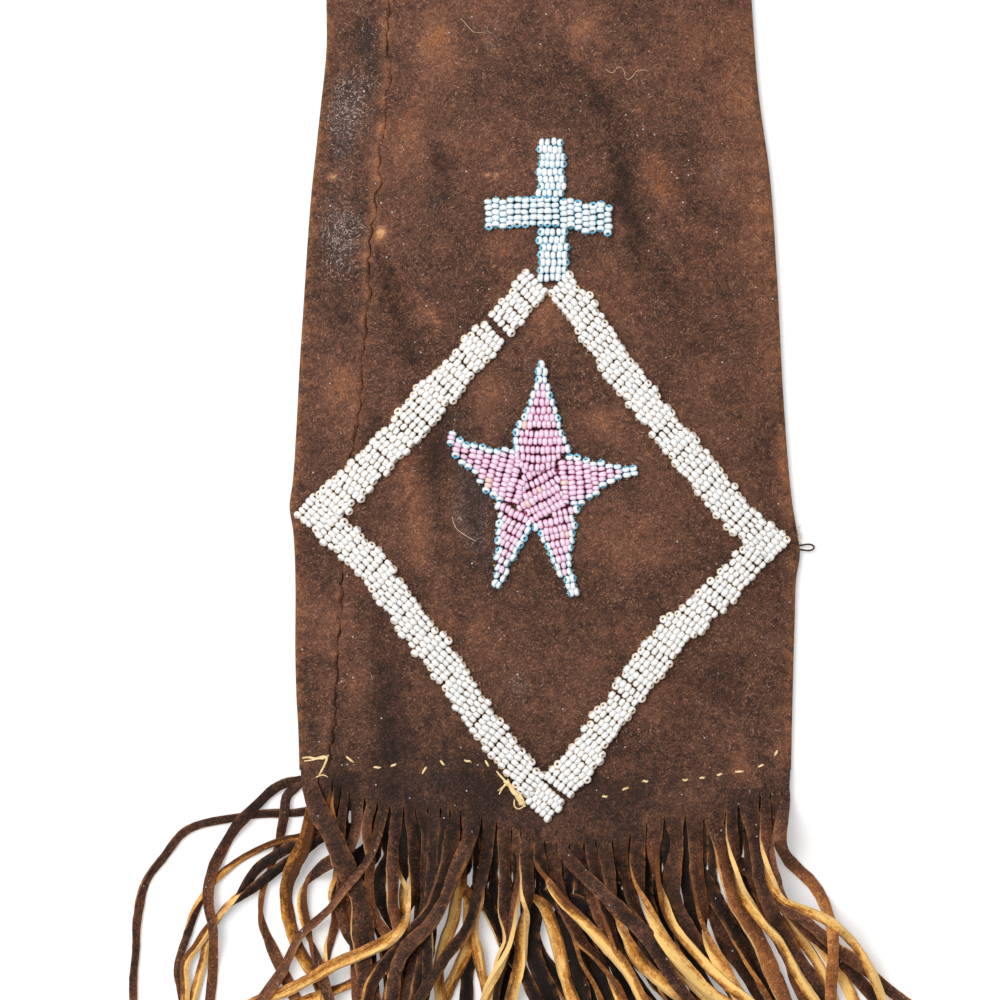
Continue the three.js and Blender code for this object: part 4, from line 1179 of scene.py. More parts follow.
def freeRows(strip, line, height):
    # rows across the free part, tilted and rolled
    drops = [
        smoothStep(strip[slit] - strip["lowest"], 0, fringe["slitReach"]) * strip["isFront"]
        for slit in ("rightSlit", "leftSlit")
    ]
    rows = []
    for i in range(1, len(height)):
        half, free = line["half"][i], line["free"][i]
        row = []
        for u in fringe["columns"]:
            grown = max(free, drops[u > 0])
            angle = line["turn"][i] + strip["tilt"] * grown
            flat = u * half * math.cos(angle)
            curl = u * u - 0.4 * free * (math.cos(angle) > 0)
            up = u * half * math.sin(angle) - strip["rolled"] * curl * math.cos(angle) * grown
            x = line["x"][i] + line["headY"][i] * flat
            y = line["y"][i] - line["headX"][i] * flat
            row.append((x, y, height[i] + up))
        rows.append(row)
    return rows


def coverGround(line, height):
    # the laid strip is ground for the next
    half, turn = line["half"], line["turn"]
    fine = np.linspace(0, len(height) - 1, 4 * len(height))
    order = np.arange(len(height))
    for u in np.linspace(-1, 1, 13):
        flat = u * half * np.cos(turn)
        top = height + u * half * np.sin(turn) + 0.5 * fringe["thickness"] * np.abs(np.cos(turn))
        x = np.interp(fine, order, line["x"] + line["headY"] * flat)
        y = np.interp(fine, order, line["y"] - line["headX"] * flat)
        np.maximum.at(ground["cells"], groundCells(x, y), np.interp(fine, order, top))


def layStrip(leftX, rightX, layer, width, route, isFront):
    # rows of points from the hem to the tip
    strip = {"left": leftX, "right": rightX, "layer": layer, "isFront": isFront}
    strip["leftSlit"], strip["rightSlit"] = slitEnd(leftX, isFront), slitEnd(rightX, isFront)
    strip["lowest"] = math.floor(min(strip["leftSlit"], strip["rightSlit"]))
    strip["rolled"] = rng.uniform(*fringe["roll"])
    firstTurn = route[0][2]
    leaning = firstTurn or rng.choice((-1, -1, 1))
    tilt = math.copysign(rng.uniform(*fringe["tilt"]), leaning) * isFront
    tilt = tilt * max(0, 1 - abs(firstTurn) / fringe["steepest"]) * smoothStep(abs(leftX), 66, 60)
    strip["tilt"] = math.radians(tilt)
    strip["rootHalf"] = (rightX - leftX) / 2 - fringe["slitGap"]
    rows = hemRows(strip)
    line = stripLine(strip, route, width)
    height = restHeight(strip, line, rows[-1][2][2])
    rows += freeRows(strip, line, height)
    coverGround(line, height)
    return np.array(rows)


stripShade = {
    "spread": 0.15,
    "hemFade": 12,  # length over which the tone of the hem runs out
    "worn": (0, 0, 0.2, 0.4, 0.8),
    "outerWorn": 0.3,
    "outerFrom": 42,
    "warm": (0.1, 0.6),
    "wornWarm": 0.6,
    "drift": 0.35,
    "driftSize": 9,
    # lean: how much one side of a strip is painted lighter and the other darker, as light falls on a
    # rounded strip
    "lean": (0.2, 0.5),
    "sideShadeTone": 0.6,
    "rootDark": 0.42,
    "flesh": (-0.05, 0.25),
    "ownFlesh": 0.6,
    "edges": (0.7, 1),
}


def shadeStrip(piece, laid, index, ownTone, isFront):
    # the tone of the hem runs out over the top of the strip, then each strip has its own; the hidden back
    # strips get painted shade, and each strip gets a painted highlight on one side and painted shade on the
    # other
    places = laid.reshape(-1, 3)
    hem = np.array([hideToneAndShade(x, y) for x, y, z in places])
    tops = np.array([slitTop(x) for x in places[:, 0]])
    past = np.clip((np.minimum(tops + 3, -3) - places[:, 1]) / stripShade["hemFade"], 0, 1)
    isOuter = abs(places[0, 0]) > stripShade["outerFrom"]
    stripTone = fringe["grainTone"] + ownTone + either(stripShade["spread"])
    # painted shade: back strips in the middle, seen only between the front ones, are darkened
    if not isFront and places[0, 0] >= -54:
        stripTone += fringe["backShade"]
    worn = rng.choice(stripShade["worn"]) + stripShade["outerWorn"] * isOuter
    worn = worn * (isFront or isOuter) * np.clip((-8 - places[:, 1]) / 30, 0, 1)
    tone = hem[:, 0] * (1 - past) + (stripTone + worn) * past
    stripWarm = rng.uniform(*stripShade["warm"]) + stripShade["wornWarm"] * worn
    warm = hem[:, 1] * (1 - past) + stripWarm * past
    size = stripShade["driftSize"]
    drift = np.array([ripple(x / size, y / size, index) for x, y, z in places])
    side = np.tile(fringe["columns"], len(laid))
    # painted highlight and painted shade: one side of the strip lighter, the other darker
    lean = rng.uniform(*stripShade["lean"]) * rng.choice((-1, 1)) * side
    rootward = stripShade["rootDark"] * np.clip((places[:, 1] + 46) / 36, 0, 1)
    flesh = rng.uniform(*stripShade["flesh"]) + lean + stripShade["drift"] * drift
    flesh = flesh - rootward + stripShade["ownFlesh"] * ownTone
    ownDrift = stripShade["drift"] * drift + stripShade["sideShadeTone"] * lean
    addAttribute(piece, "tone", tone + ownDrift * past)
    addAttribute(piece, "fleshTone", flesh)
    addAttribute(piece, "warm", warm)
    addAttribute(piece, "strand", np.full(len(past), rng.random()))
    edges = rng.uniform(*stripShade["edges"]) * (0.6 + np.abs(drift))
    addAttribute(piece, "rub", edges * np.clip(np.abs(side) * 4 - 3, 0, 1) * past)


def makeFringe(name, strips, slits, layer, isFront, node):
    laid = {}
    for index in sorted(range(len(strips)), key=lambda i: strips[i][0]):
        width, route = strips[index][1], strips[index][3]
        # front strips a little wider; the middle back strips much wider, so that the dark back layer fills
        # the gaps under the front strips
        if isFront:
            width *= fringe["frontWidth"]
        elif route[0][0] >= -50:
            width *= fringe["backWidth"]
        laid[index] = layStrip(slits[index], slits[index + 1], layer, width, route, isFront)
    objects = []
    for index, strip in enumerate(strips):
        piece = gridSheet(f"{name}_strip", laid[index])
        shadeStrip(piece, laid[index], index, strip[2], isFront)
        objects.append(piece)
    piece = joinPieces(name, objects)
    mergeDoubles(piece, 0.01)
    setMaterials(piece, hideGrain, hideFlesh, hideCut)
    giveThickness(piece, fringe["thickness"], 0)
    finishPiece(piece, "hide", node)
    print(name, "made:", len(piece.data.polygons), "faces")
    return piece


backRoots = [strip[3][0][0] for strip in backStrips]
backMiddles = [(a + b) / 2 for a, b in zip(backRoots, backRoots[1:])]
backSlits = [frontSlits[0], *backMiddles, frontSlits[-1]]
fringeBack = makeFringe(
    "fringe_back_strips", backStrips, backSlits, fringe["backMiddle"], False, "fringe_back",
)
fringeFront = makeFringe(
    "fringe_front_strips", frontStrips, frontSlits, fringe["frontMiddle"], True, "fringe_front",
)


# Seed beads, sewn on in short rows

bead = {
    "width": 2.4,
    "length": 1.62,
    "spacing": 1.57,
    "hole": 0.6,
    "flat": 0.46,
    "segments": 10,
    "pitch": 2.06,
    "arch": 0.35,
    "wander": 0.2,
    "sizeSpread": 0.09,
    "riseSpread": 0.08,
    "tiltSpread": 0.15,
    "swingSpread": 0.16,
    "endRoom": 0.5,
    "edgeRoom": 0.8,
    "looseEnds": 0.8,  # share of row ends that tip over
    "endTilt": (0.3, 1),
    "endShift": 0.15,
    "stagger": 0.6,
    "bow": 0.25,
    "fieldLooseness": 0.1,
    "laneLooseness": 0.12,
    "laneSwing": 0.06,
    "laneSpare": (-0.4, 0.5),
    "slackRows": 5,
    "slackLift": 0.8,
    "threadOut": 0.75,  # the thread goes down into the hide past the last bead
    "threadDown": 0.55,
}


def modelBead():
    # a short drum, its ends drawn out to a rim and in again to the hole
    deselectAll()
    bpy.ops.mesh.primitive_cylinder_add(
        vertices=bead["segments"], radius=bead["width"] / 2, depth=bead["length"] * bead["flat"],
    )
    obj = bpy.context.object
    shoulder = bead["length"] * (1 - bead["flat"]) / 2
    wall = (bead["width"] - bead["hole"]) / 2
    bpy.ops.object.mode_set(mode="EDIT")
    bpy.ops.mesh.select_mode(type="FACE")
    bpy.ops.mesh.select_all(action="DESELECT")
    bpy.ops.mesh.select_face_by_sides(number=bead["segments"], type="EQUAL")
    bpy.ops.mesh.inset(thickness=wall * 0.45, depth=shoulder)
    bpy.ops.mesh.inset(thickness=wall * 0.5, depth=-shoulder)
    bpy.ops.mesh.bridge_edge_loops()
    bpy.ops.mesh.select_all(action="SELECT")
    bpy.ops.mesh.normals_make_consistent(inside=False)
    bpy.ops.object.mode_set(mode="OBJECT")
    points = np.array([vertex.co[:] for vertex in obj.data.vertices])
    faces = [list(face.vertices) for face in obj.data.polygons]
    bpy.data.objects.remove(obj, do_unlink=True)
    return points, faces


beadPoints, beadFaces = modelBead()
# points inside the hole, which take the painted shade
beadHoleShade = np.hypot(beadPoints[:, 0], beadPoints[:, 1]) < 0.6 * bead["hole"]
threadRuns = []


def insideSpan(outline, place, along):
    # where a line through a place meets an outline, measured along the line from that place
    normal = np.array([-along[1], along[0]])
    hits = []
    for a, b in zip(outline, np.roll(outline, -1, axis=0)):
        sideA, sideB = np.dot(a - place, normal), np.dot(b - place, normal)
        if (sideA > 0) != (sideB > 0):
            meet = a + (b - a) * sideA / (sideA - sideB)
            hits.append(float(np.dot(meet - place, along)))
    hits.sort()
    return hits


def sewRow(beads, place, along, low, high, length, rowLift=0.0, bow=0.0):
    # one row of beads from low to high along a line, arched over its thread
    if high - low > 3:
        low, high = low + bead["endRoom"], high - bead["endRoom"]
    count = round((high - low) / length)
    if count < 1:
        return
    span = (high - low) / count
    across = np.array([-along[1], along[0]])
    arch = bead["arch"] + rowLift
    run = []
    for k in range(count):
        part = (k + 0.5) / count
        crown = 1 - (2 * part - 1) ** 2
        spot = place + along * (low + (k + 0.5) * span + either(0.5) * bead["wander"])
        spot = spot + across * (bow * crown + either(1) * bead["wander"])
        if not leftEdge(spot[1]) + bead["edgeRoom"] < spot[0] < rightEdge(spot[1]) - bead["edgeRoom"]:
            continue
        size = 1 + either(1) * bead["sizeSpread"]
        rise = arch * crown + either(bead["riseSpread"])
        z = hideHeight(*spot) + bead["width"] / 2 * size + rise
        slope = -(2 * part - 1) * 4 * arch / max(high - low, 3)
        tilt = math.atan(slope) + either(bead["tiltSpread"])
        isEnd = k == 0 or k == count - 1
        if isEnd and rng.random() < bead["looseEnds"]:
            outwards = 1 if k else -1
            tilt += outwards * rng.uniform(*bead["endTilt"])
            spot = spot + along * outwards * bead["endShift"]
            z += bead["endShift"]
        swing = either(bead["swingSpread"])
        axis = np.array([*(along * math.cos(tilt) + across * swing), math.sin(tilt)])
        beads.append({
            "place": np.array([spot[0], spot[1], z]),
            "axis": axis / np.linalg.norm(axis),
            "stretch": length / bead["spacing"],
            "size": size,
            "tone": either(1),
            "isEnd": isEnd,
            "odd": 0.0,
        })
        run.append((spot[0], spot[1], z))
    if not run:
        return
    first, last = np.array(run[0]), np.array(run[-1])
    outward = np.array([along[0], along[1], 0]) * bead["length"] * bead["threadOut"]
    down = np.array([0, 0, -bead["width"] * bead["threadDown"]])
    threadRuns.append([first - outward + down, *run, last + outward + down])


def fillField(beads, outline, degrees, length, looseness=bead["fieldLooseness"], sag=0.0):
    # rows across an outline; the first few sag when the thread was left slack
    outline = np.array(outline, float)
    along = np.array([math.cos(math.radians(degrees)), math.sin(math.radians(degrees))])
    across = np.array([-along[1], along[0]])
    reach = outline @ across
    count = max(1, round((reach.max() - reach.min()) / bead["pitch"]))
    step = (reach.max() - reach.min()) / count
    for k in range(count):
        place = across * (reach.min() + (k + 0.5) * step)
        hits = insideSpan(outline, place, along)
        if len(hits) < 2:
            continue
        stagger = either(bead["stagger"])
        slack = max(0.0, 1 - k / bead["slackRows"])
        lift = max(0.0, rng.gauss(0, looseness)) + bead["slackLift"] * slack * abs(sag)
        bow = either(bead["bow"]) + sag * slack
        sewRow(beads, place, along, hits[0] + stagger, hits[-1] + stagger, length, lift, bow)


def laneLine(points):
    # a smooth line through a lane's edge points, and its length
    knots = np.array(points, float)
    reach = np.concatenate([[0], np.cumsum(np.hypot(*np.diff(knots, axis=0).T))])
    acrossAt, upAt = (curveThrough(list(zip(reach, knots[:, k]))) for k in range(2))
    return lambda part: np.array([acrossAt(part * reach[-1]), upAt(part * reach[-1])]), reach[-1]


def fillLane(beads, outer, inner, bare=None):
    # short rows from the outer to the inner edge of a lane, with a bare place where the thread gave way
    outerAt, outerLength = laneLine(outer)
    innerAt, innerLength = laneLine(inner)
    length = (outerLength + innerLength) / 2
    spans = [(0, bare[0]), (bare[0] + bare[1], length)] if bare else [(0, length)]
    for start, end in spans:
        count = round((end - start) / bead["pitch"])
        for k in range(count):
            part = (start + (k + 0.5) / count * (end - start)) / length
            low, high = outerAt(part), innerAt(part)
            swing = math.atan2(*(high - low)[::-1]) + either(bead["laneSwing"])
            along = np.array([math.cos(swing), math.sin(swing)])
            stagger = either(bead["stagger"])
            spare = np.hypot(*(high - low)) / 2 + rng.uniform(*bead["laneSpare"])
            lift = max(0.0, rng.gauss(0, bead["laneLooseness"]))
            ends = (stagger - spare, stagger + spare)
            sewRow(beads, (low + high) / 2, along, *ends, bead["spacing"], lift, either(bead["bow"]))


def castBeads(name, beads, material, slotName, nodes):
    # copies of the one bead, each turned to its thread
    points, faces, paintedBeadShades = [], [], []
    for index, one in enumerate(beads):
        axis = one["axis"]
        sideways = np.cross([0, 0, 1], axis)
        sideways /= np.linalg.norm(sideways)
        turn = np.array([sideways, np.cross(axis, sideways), axis])
        shaped = (beadPoints * one["size"] * [1, 1, one["stretch"]]) @ turn
        points.append(shaped + one["place"])
        start = index * len(beadPoints)
        faces += [[start + corner for corner in face] for face in beadFaces]
        # painted shade: lower points on each bead take more of the side colour, while the top keeps the
        # crown colour as a painted highlight
        paintedBeadShades.append(np.clip(1.25 - 2 * shaped[:, 2] / (bead["width"] / 2), 0, 1))
    mesh = bpy.data.meshes.new(name)
    mesh.from_pydata((np.vstack(points) * mm).tolist(), [], faces)
    obj = bpy.data.objects.new(name, mesh)
    bpy.context.collection.objects.link(obj)
    makeActive(obj)
    bpy.ops.object.shade_smooth()
    addAttribute(obj, "paintedBeadShade", np.concatenate(paintedBeadShades))
    addAttribute(obj, "mouth", np.tile(beadHoleShade, len(beads)))
    for label in ("tone", "odd"):
        addAttribute(obj, label, np.repeat([one[label] for one in beads], len(beadPoints)))
    setMaterials(obj, material)
    finishPiece(obj, slotName, *nodes)
    print(name, "made:", len(beads), "beads")


# Diamond: four bowed lanes, with a bare place high in the upper left one and low in the lower right one
diamond = {
    "upperLeft": {
        "outer": [
            (-5.7, 139.3), (-17, 126), (-29.5, 111.8), (-36.1, 106.7), (-40.1, 101.2), (-63.8, 76.8),
        ],
        "inner": [(0.8, 132.4), (-28.7, 98.3), (-55.7, 70.2)],
        "bare": (16.4, 1.7),
    },
    "upperRight": {
        "outer": [
            (5.8, 138.2), (13.4, 129.9), (22.2, 116.4), (33.3, 102.2), (44.7, 88.3), (55.1, 76),
            (68, 65.2),
        ],
        "inner": [
            (0.2, 131.9), (6.2, 123.9), (14.9, 110.3), (26.3, 96.4), (37.2, 82.1), (50.2, 66.9),
            (61.6, 58.6),
        ],
    },
    "lowerLeft": {
        "outer": [
            (-69.6, 71.6), (-59.1, 61.5), (-51.8, 54.6), (-44.6, 45), (-37.6, 35.2), (-29, 24.1),
            (-20.2, 10.7), (-5.6, -7.4),
        ],
        "inner": [
            (-64, 77.2), (-55.5, 71.5), (-49.8, 66.5), (-44.3, 60.7), (-37.5, 50.8), (-30.2, 41.3),
            (-22.5, 32), (-16.5, 21.4), (-9.3, 11.8), (0.3, 0),
        ],
    },
    "lowerRight": {
        "outer": [
            (0.3, -13), (5.8, -8), (13.1, 0.1), (18.5, 8.7), (25.6, 18.4), (31.3, 26.8), (35.5, 32.4),
            (43.6, 40), (52.5, 48.1), (61.8, 59.8),
        ],
        "inner": [
            (-6.6, -7), (-0.6, -0.2), (5.8, 6.8), (11.3, 15.3), (18.6, 24.9), (23.9, 33.5), (30, 41.5),
            (36.4, 46.5), (44, 53.2), (54.8, 64.8),
        ],
        "bare": (7.4, 1.4),
    },
}
diamondBeads = []
for lane in diamond.values():
    fillLane(diamondBeads, lane["outer"], lane["inner"], lane.get("bare"))
diamondLanes = ["upper_left_top", "upper_left", "upper_right", "lower_left", "lower_right"]
diamondNodes = [f"diamond_{name}" for name in diamondLanes]
castBeads("diamond_beads", diamondBeads, whiteGlass, "beads_white", diamondNodes)

# Cross: an upright of level rows, and a bar of upright rows through it
cross = {
    "head": {"slope": 0, "outline": [(-2.4, 174.2), (5, 174.2), (5.6, 158.4), (-3, 158.4)]},
    "bar": {"slope": 90, "outline": [
        (-16.9, 158.4), (0, 158.7), (17.9, 156.6), (17.9, 147.7), (0, 149.8), (-16.9, 149.5),
    ]},
    "foot": {"slope": 0, "outline": [(-2.4, 149.8), (6.1, 149.8), (5.9, 135.3), (-2.9, 135.3)]},
}
crossBeadLength = 1.46
crossBeads = []
for arm in cross.values():
    fillField(crossBeads, arm["outline"], arm["slope"], crossBeadLength)
crossNodes = ["cross_upright", "cross_arm_left", "cross_arm_right"]
castBeads("cross_beads", crossBeads, blueGlass, "beads_blue", crossNodes)

# Star: five arms and a centre, each with its own slope of rows
star = {
    "top": {
        "slope": 0,
        "sag": -1.4,
        "outline": [
            (-1.7, 113.6), (-4.4, 104), (-8.8, 93.8), (-9.4, 90), (-6.9, 84.7), (2.5, 84.7), (6.9, 90),
            (5.5, 93.8), (2.2, 104), (-0.8, 113.6),
        ],
    },
    "left": {
        "slope": 75,
        "outline": [
            (-26.2, 94.8), (-22.3, 92.3), (-16.8, 90.5), (-9.4, 90), (-7.2, 86.6), (-6.6, 81.1),
            (-7.4, 74.6), (-11.8, 74.0), (-14.3, 75.2), (-19.5, 81.7), (-24.2, 86.1), (-26.9, 90.8),
        ],
    },
    "right": {
        "slope": 95,
        "outline": [
            (3.9, 86.1), (7.2, 88.8), (12.1, 86.9), (18.2, 86.1), (24.8, 85.3), (24.8, 83), (18.2, 80.3),
            (12.7, 76.2), (8.5, 73.2), (4.4, 73.8), (3.9, 81.1),
        ],
    },
    "lowLeft": {
        "slope": -30,
        "outline": [
            (-14.3, 75.1), (-12.7, 74.5), (-7.7, 72.3), (-4.1, 69), (-6, 63.3), (-8.8, 59.1), (-11, 54.2),
            (-12.7, 50.9), (-15.1, 54.5), (-14.3, 59.1), (-13.8, 67.4),
        ],
    },
    "lowRight": {
        "slope": 14,
        "outline": [
            (-3.6, 68.2), (-0.3, 70.7), (5.5, 73.4), (8.8, 73.2), (8, 67.4), (7.2, 61.9), (7.4, 56.4),
            (9.1, 50.3), (7.2, 49.2), (4.1, 53.6), (1.1, 58.3), (-1.4, 63.3),
        ],
    },
    "centre": {
        "slope": 28,
        "outline": [
            (-6.9, 84.7), (2.8, 84.7), (4.1, 81.1), (5.5, 74.8), (-0.3, 71.2), (-3.9, 69), (-8.3, 73.4),
            (-8, 77), (-6.6, 81.1),
        ],
    },
}
starHeart = np.array([-2, 80])
starReach = 10.8
starBeadLength = 1.36
starLooseness = 0.3
starBeads = []
for arm in star.values():
    fillField(starBeads, arm["outline"], arm["slope"], starBeadLength, starLooseness, arm.get("sag", 0.0))
# Row ends that reach the outline are pale blue, the rest is pink with a few rosy ones
pinkBeads, edgeBeads = [], []
for one in starBeads:
    isEdge = one["isEnd"] and np.hypot(*(one["place"][:2] - starHeart)) > starReach
    one["odd"] = 1.0 if rng.random() < 0.02 else 0.0
    (edgeBeads if isEdge else pinkBeads).append(one)
pinkNodes = [f"star_arm_{number}" for number in range(1, 6)] + ["star_centre"]
castBeads("star_pink_beads", pinkBeads, pinkGlass, "beads_pink", pinkNodes)
castBeads("star_blue_beads", edgeBeads, blueGlass, "beads_blue", ["star_edging"])


# Threads: round runs of sinew drawn as curves, then made solid

# Radius of each thread, and the unit in which a laid one rises off the hide
threads = {
    "beadRadius": 0.17,
    "stitchRadius": 0.31,
    "cornerRadius": 0.34,
    "cornerRise": 0.32,
    "knotRadius": 0.36,
    "knotRise": 0.34,
    "seamRadius": 0.4,
    "wireRadius": 0.26,
}


def drawThreads(name, runs, radius, material, nodes=(), resolution=2, isSmooth=True, slotName="sinew"):
    curve = bpy.data.curves.new(name, "CURVE")
    curve.dimensions = "3D"
    curve.bevel_depth = radius * mm
    curve.bevel_resolution = resolution
    curve.use_fill_caps = True
    curve.resolution_u = 5
    for run in runs:
        spline = curve.splines.new("NURBS" if isSmooth else "POLY")
        spline.points.add(len(run) - 1)
        for point, place in zip(spline.points, run):
            point.co = (*(np.array(place[:3], float) * mm), 1)
            point.radius = place[3] if len(place) > 3 else 1
        if isSmooth:
            spline.order_u = 3
            spline.use_endpoint_u = True
    obj = bpy.data.objects.new(name, curve)
    bpy.context.collection.objects.link(obj)
    makeActive(obj)
    bpy.ops.object.convert(target="MESH")
    obj = bpy.context.object
    bpy.ops.object.shade_smooth_by_angle(angle=threadAngle)
    setMaterials(obj, material)
    finishPiece(obj, slotName, *nodes)


def laidRuns(runs, unit):
    # points across, up, how many units they rise and their thickness, laid on the hide
    return [
        [(x, y, hideHeight(x, y) + unit * rise, size) for x, y, rise, size in run]
        for run in runs
    ]


drawThreads("bead_threads", threadRuns, threads["beadRadius"], beadThread, resolution=0, isSmooth=False)

# One stitch goes out of the hide, over and back in: part of its length, rise and thickness
stitchPath = [
    (-0.62, -0.5, 0.6), (-0.45, 0.1, 0.95), (-0.2, 0.42, 1.1), (0.15, 0.45, 1.1), (0.42, 0.1, 0.95),
    (0.6, -0.5, 0.6),
]
stitchSpan = 0.62
stitchWaver = 0.25


def stitchRun(acrossAt, upAt, length, slope):
    turn = math.radians(slope)
    run = []
    for part, rise, size in stitchPath:
        x = acrossAt + math.cos(turn) * part * length * stitchSpan
        y = upAt + math.sin(turn) * part * length * stitchSpan
        y = y + stitchWaver * either(1) * (1 - abs(part))
        run.append((x, y, hideHeight(x, y) + rise, size))
    return run


stitchRuns = [stitchRun(*stitch) for stitch in stitches]
stitchNodes = [f"hem_stitch_{number:02d}" for number in range(1, 17)]
drawThreads("hem_stitches", stitchRuns, threads["stitchRadius"], sinewTan, stitchNodes)

# Loose end at the left corner
cornerRuns = [
    [
        (-67.2, 4.4, -0.5, 0.6), (-65.5, 4.8, 1, 1), (-63.5, 4.2, 1, 0.8), (-61.6, 4.9, 1.2, 1),
        (-60.3, 4.8, 1.4, 1.1), (-60.6, 3.4, 1.3, 1), (-61.4, 1.8, 1, 0.9), (-62, 0.6, 1, 0.8),
        (-62.8, -0.8, -0.5, 0.5),
    ],
    [
        (-66.6, 3.6, 0.4, 0.5), (-64.6, 3.8, 1, 0.7), (-62.8, 4.4, 1.6, 0.8), (-61, 4.2, 2, 0.8),
        (-59.9, 5.2, 0.6, 0.5),
    ],
    [(-63.4, -0.9, 0.2, 0.4), (-62.2, -0.3, 1, 0.7), (-61, -0.2, 1, 0.6), (-60.2, -0.8, 0.3, 0.4)],
]
cornerLaid = laidRuns(cornerRuns, threads["cornerRise"])
drawThreads("corner_sinew", cornerLaid, threads["cornerRadius"], sinewTan, ["corner_thread"])

# Knot: a tangled bundle with loose tails
knot = {
    "bundle": [(-11, -1.8), (-10, -3.2), (-8.6, -4.8), (-7.2, -6.6), (-6.4, -8.4)],
    "strands": 11,
    "shift": 0.55,
    "spread": 0.95,
    "flatness": 0.6,
    "endEase": 0.6,
    "rise": (0.6, 5),
    "size": (0.5, 1.2),
    "tails": [
        [(-13.6, 0.8, 0.2, 0.5), (-12.6, -0.4, 1.2, 0.9), (-11.2, -1.8, 2.6, 1), (-9.8, -3.4, 3.2, 1)],
        [
            (-12.9, -5.6, 0.2, 0.4), (-12.2, -4.2, 1.2, 0.8), (-11.2, -2.8, 2.4, 1),
            (-10.2, -1.6, 1.2, 0.7),
        ],
        [(-13.2, -4.6, 0.2, 0.3), (-11.8, -3.4, 1.6, 0.6), (-10.4, -2.6, 2.8, 0.8), (-9.2, -4.4, 3, 0.8)],
        [
            (-8.6, -7, 1.4, 0.6), (-8.9, -8.4, 1, 0.6), (-8.2, -9.5, 1, 0.6), (-6.9, -9.6, 1, 0.6),
            (-6, -8.7, 0.6, 0.5),
        ],
    ],
}
knotRuns = list(knot["tails"])
for strand in range(knot["strands"]):
    run = []
    for k, (x, y) in enumerate(knot["bundle"]):
        ease = knot["endEase"] if k in (0, len(knot["bundle"]) - 1) else 1.0
        shiftX, shiftY = (rng.gauss(0, knot["shift"]) * knot["spread"] for axis in range(2))
        rise, size = (rng.uniform(*knot[label]) * ease for label in ("rise", "size"))
        run.append((x + shiftX, y + shiftY * knot["flatness"], rise, size))
    knotRuns.append(run)
knotLaid = laidRuns(knotRuns, threads["knotRise"])
drawThreads("knot_sinew", knotLaid, threads["knotRadius"], sinewTan, ["sinew_knot"])

# Sinew inside the seam, from side to side
seamSinew = {"low": 64, "high": 309, "points": 82, "reach": 0.5, "depth": 3.0}
seamRun = []
for i, y in enumerate(np.linspace(seamSinew["low"], seamSinew["high"], seamSinew["points"])):
    side = seamSinew["reach"] if i % 2 else -seamSinew["reach"]
    seamRun.append((seamLine(y) + side, y, hideHeight(seamLine(y), y) - seamSinew["depth"]))
drawThreads(
    "seam_stitching", [seamRun], threads["seamRadius"], sinewTan, ["seam_sinew"],
    resolution=1, isSmooth=False,
)

# Wire eye in the right fold, in the box of its node
eyePath = [
    (-1.6, -0.5), (-0.6, -0.8), (0.2, -1), (0.8, -0.7), (1, 0), (0.8, 0.7), (0.2, 1), (-0.6, 0.7),
    (-1.6, 0.4),
]
eyeLow, eyeHigh = (np.array(corner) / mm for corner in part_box("wire_eye"))
eyeMiddle = (eyeLow + eyeHigh) / 2
eyeInset = 0.35
eyeHalf = (eyeHigh - eyeLow) / 2 - eyeInset
eyeRun = [
    (eyeMiddle[0] + eyeHalf[0] * acrossPart, eyeMiddle[1] + eyeHalf[1] * upPart, eyeMiddle[2])
    for acrossPart, upPart in eyePath
]
drawThreads("wire_loop", [eyeRun], threads["wireRadius"], wireIron, ["wire_eye"], slotName="wire")

# Loose hairs and lint on the front, and a tuft at the right fold
lint = {
    "radius": 0.09,
    "rise": 0.1,
    "count": 150,
    "spread": (4, 210),
    "edgeRoom": 2,
    "dusty": (150, 212),  # two in five lie on the dusty left side
    "dustyRight": -38,
    "reach": (0.2, 0.7),
    "bend": 0.4,
    "tuftRadius": 0.1,
    "tuftStrands": 14,
    "tuftPlace": 66,
    "tuftSpread": 1.8,
    "tuftReach": (0.8, 1.9),
    "tuftLean": 1.6,
    "tuftHeight": (1.2, 2.6),
}
hairRuns = [
    [
        (16.2, 193.6, 0.3, 1), (18, 191.6, 2, 1), (19.6, 194.4, 1, 1), (21.4, 193.4, 1.5, 1),
        (21.6, 190.6, 2, 1), (23.4, 190.9, 1, 1), (25, 193.8, 2, 1), (28, 193, 0.3, 0.7),
    ],
    [
        (-23.4, 207.4, 0.3, 0.7), (-21.6, 205.4, 1, 1), (-20.4, 203.8, 2, 1), (-18.8, 203.2, 1, 1),
        (-16.8, 203.6, 0.3, 0.7),
    ],
]
drawThreads("loose_hairs", laidRuns(hairRuns, lint["rise"]), lint["radius"], beadThread, resolution=1)
lintRuns = [
    [
        (-25.8, 71, 0.3, 0.8), (-25.2, 68.2, 2, 1), (-23.2, 66.6, 1, 1.1), (-21, 65.2, 2, 1),
        (-19.2, 64.3, 0.3, 0.8),
    ],
    [(-24.2, 70.4, 0.3, 0.8), (-23.6, 71.2, 2, 1), (-23.2, 70, 1, 1)],
]
for hair in range(lint["count"]):
    isDusty = hair % 5 < 2
    y = rng.uniform(*lint["dusty" if isDusty else "spread"])
    right = lint["dustyRight"] if isDusty else rightEdge(y) - lint["edgeRoom"]
    x = rng.uniform(leftEdge(y) + lint["edgeRoom"], right)
    heading, reach = rng.uniform(0, math.pi), rng.uniform(*lint["reach"])
    acrossReach, upReach = math.cos(heading) * reach, math.sin(heading) * reach
    bend = either(lint["bend"])
    lintRuns.append([
        (x - acrossReach, y - upReach, -0.5, 0.4),
        (x - bend * upReach, y + bend * acrossReach, 2, 0.7),
        (x + acrossReach, y + upReach, -0.5, 0.4),
    ])
drawThreads("lint_hairs", laidRuns(lintRuns, lint["rise"]), lint["radius"], lintWhite, resolution=0)
tuftRuns = []
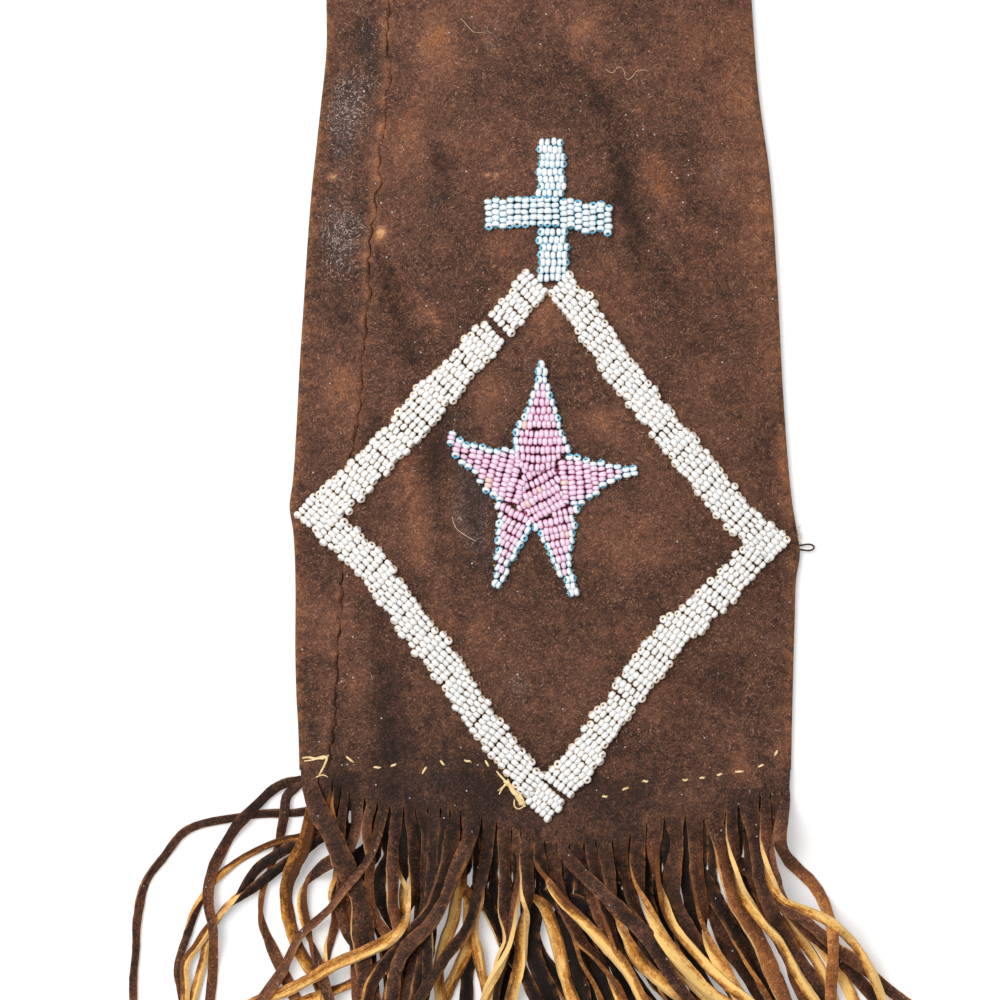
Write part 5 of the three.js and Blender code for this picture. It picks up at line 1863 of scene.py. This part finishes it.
for strand in range(lint["tuftStrands"]):
    y = lint["tuftPlace"] + either(lint["tuftSpread"])
    start = rightEdge(y) - 0.8
    reach, lean = rng.uniform(*lint["tuftReach"]), either(lint["tuftLean"])
    height = rng.uniform(*lint["tuftHeight"])
    middle = (start + reach * 0.7, y + lean * 0.3, height + 0.4)
    tuftRuns.append([(start, y, height), middle, (start + reach, y + lean, height)])
drawThreads("edge_tuft", tuftRuns, lint["tuftRadius"], lintWhite, resolution=1)
print("threads made")


# Floor, light and camera

stage = {
    "floorSize": 6.0,
    "floorColour": 0.74,
    "floorGlow": 0.3,
    "skyStrength": 0.45,
    "keyPlace": (-0.55, 0.5, 1.45),
    "keySize": 0.9,
    "keyPower": 22.8,
    "photoMiddle": (-12.65, 75.6),
    "photoWidth": 275,
    "photoPlane": 6,
    "cameraHeight": 900,
    "sensor": 36,
}


def makeFloor():
    deselectAll()
    bpy.ops.mesh.primitive_plane_add(size=stage["floorSize"], location=(0, 0, 0))
    floor = bpy.context.object
    floor.name = "floor"
    material, tree, shader = newMaterial("floorWhite")
    rays = addNode(tree, "LightPath")
    seen = calc(tree, "MAXIMUM", rays.outputs["Is Camera Ray"], rays.outputs["Is Glossy Ray"])
    seen = calc(tree, "MAXIMUM", seen, rays.outputs["Is Transmission Ray"])
    setShader(
        tree, shader, Base_Color=(stage["floorColour"],) * 3 + (1,), Roughness=0.9, Specular_IOR_Level=0.0,
        Emission_Color=(1, 1, 1, 1), Emission_Strength=times(tree, seen, stage["floorGlow"]),
    )
    setMaterials(floor, material)


def makeLight():
    world = bpy.data.worlds.new("studio")
    world.use_nodes = True
    sky = world.node_tree.nodes["Background"]
    sky.inputs["Color"].default_value = (1, 1, 1, 1)
    sky.inputs["Strength"].default_value = stage["skyStrength"]
    bpy.context.scene.world = world
    lamp = bpy.data.lights.new("key", "AREA")
    lamp.size = stage["keySize"]
    lamp.energy = stage["keyPower"]
    key = bpy.data.objects.new("key", lamp)
    bpy.context.collection.objects.link(key)
    key.location = stage["keyPlace"]
    target = Vector((stage["photoMiddle"][0] * mm, stage["photoMiddle"][1] * mm, 0))
    key.rotation_euler = (target - key.location).to_track_quat("-Z", "Y").to_euler()


def makeCamera():
    view = bpy.data.cameras.new("photo")
    view.sensor_width = stage["sensor"]
    view.lens = stage["sensor"] * stage["cameraHeight"] / stage["photoWidth"]
    view.clip_start = 0.01
    camera = bpy.data.objects.new("photo", view)
    bpy.context.collection.objects.link(camera)
    across, up = stage["photoMiddle"]
    camera.location = (across * mm, up * mm, (stage["photoPlane"] + stage["cameraHeight"]) * mm)
    bpy.context.scene.camera = camera


makeFloor()
makeLight()
makeCamera()
bpy.context.scene.view_settings.view_transform = "Standard"
print("stage made")
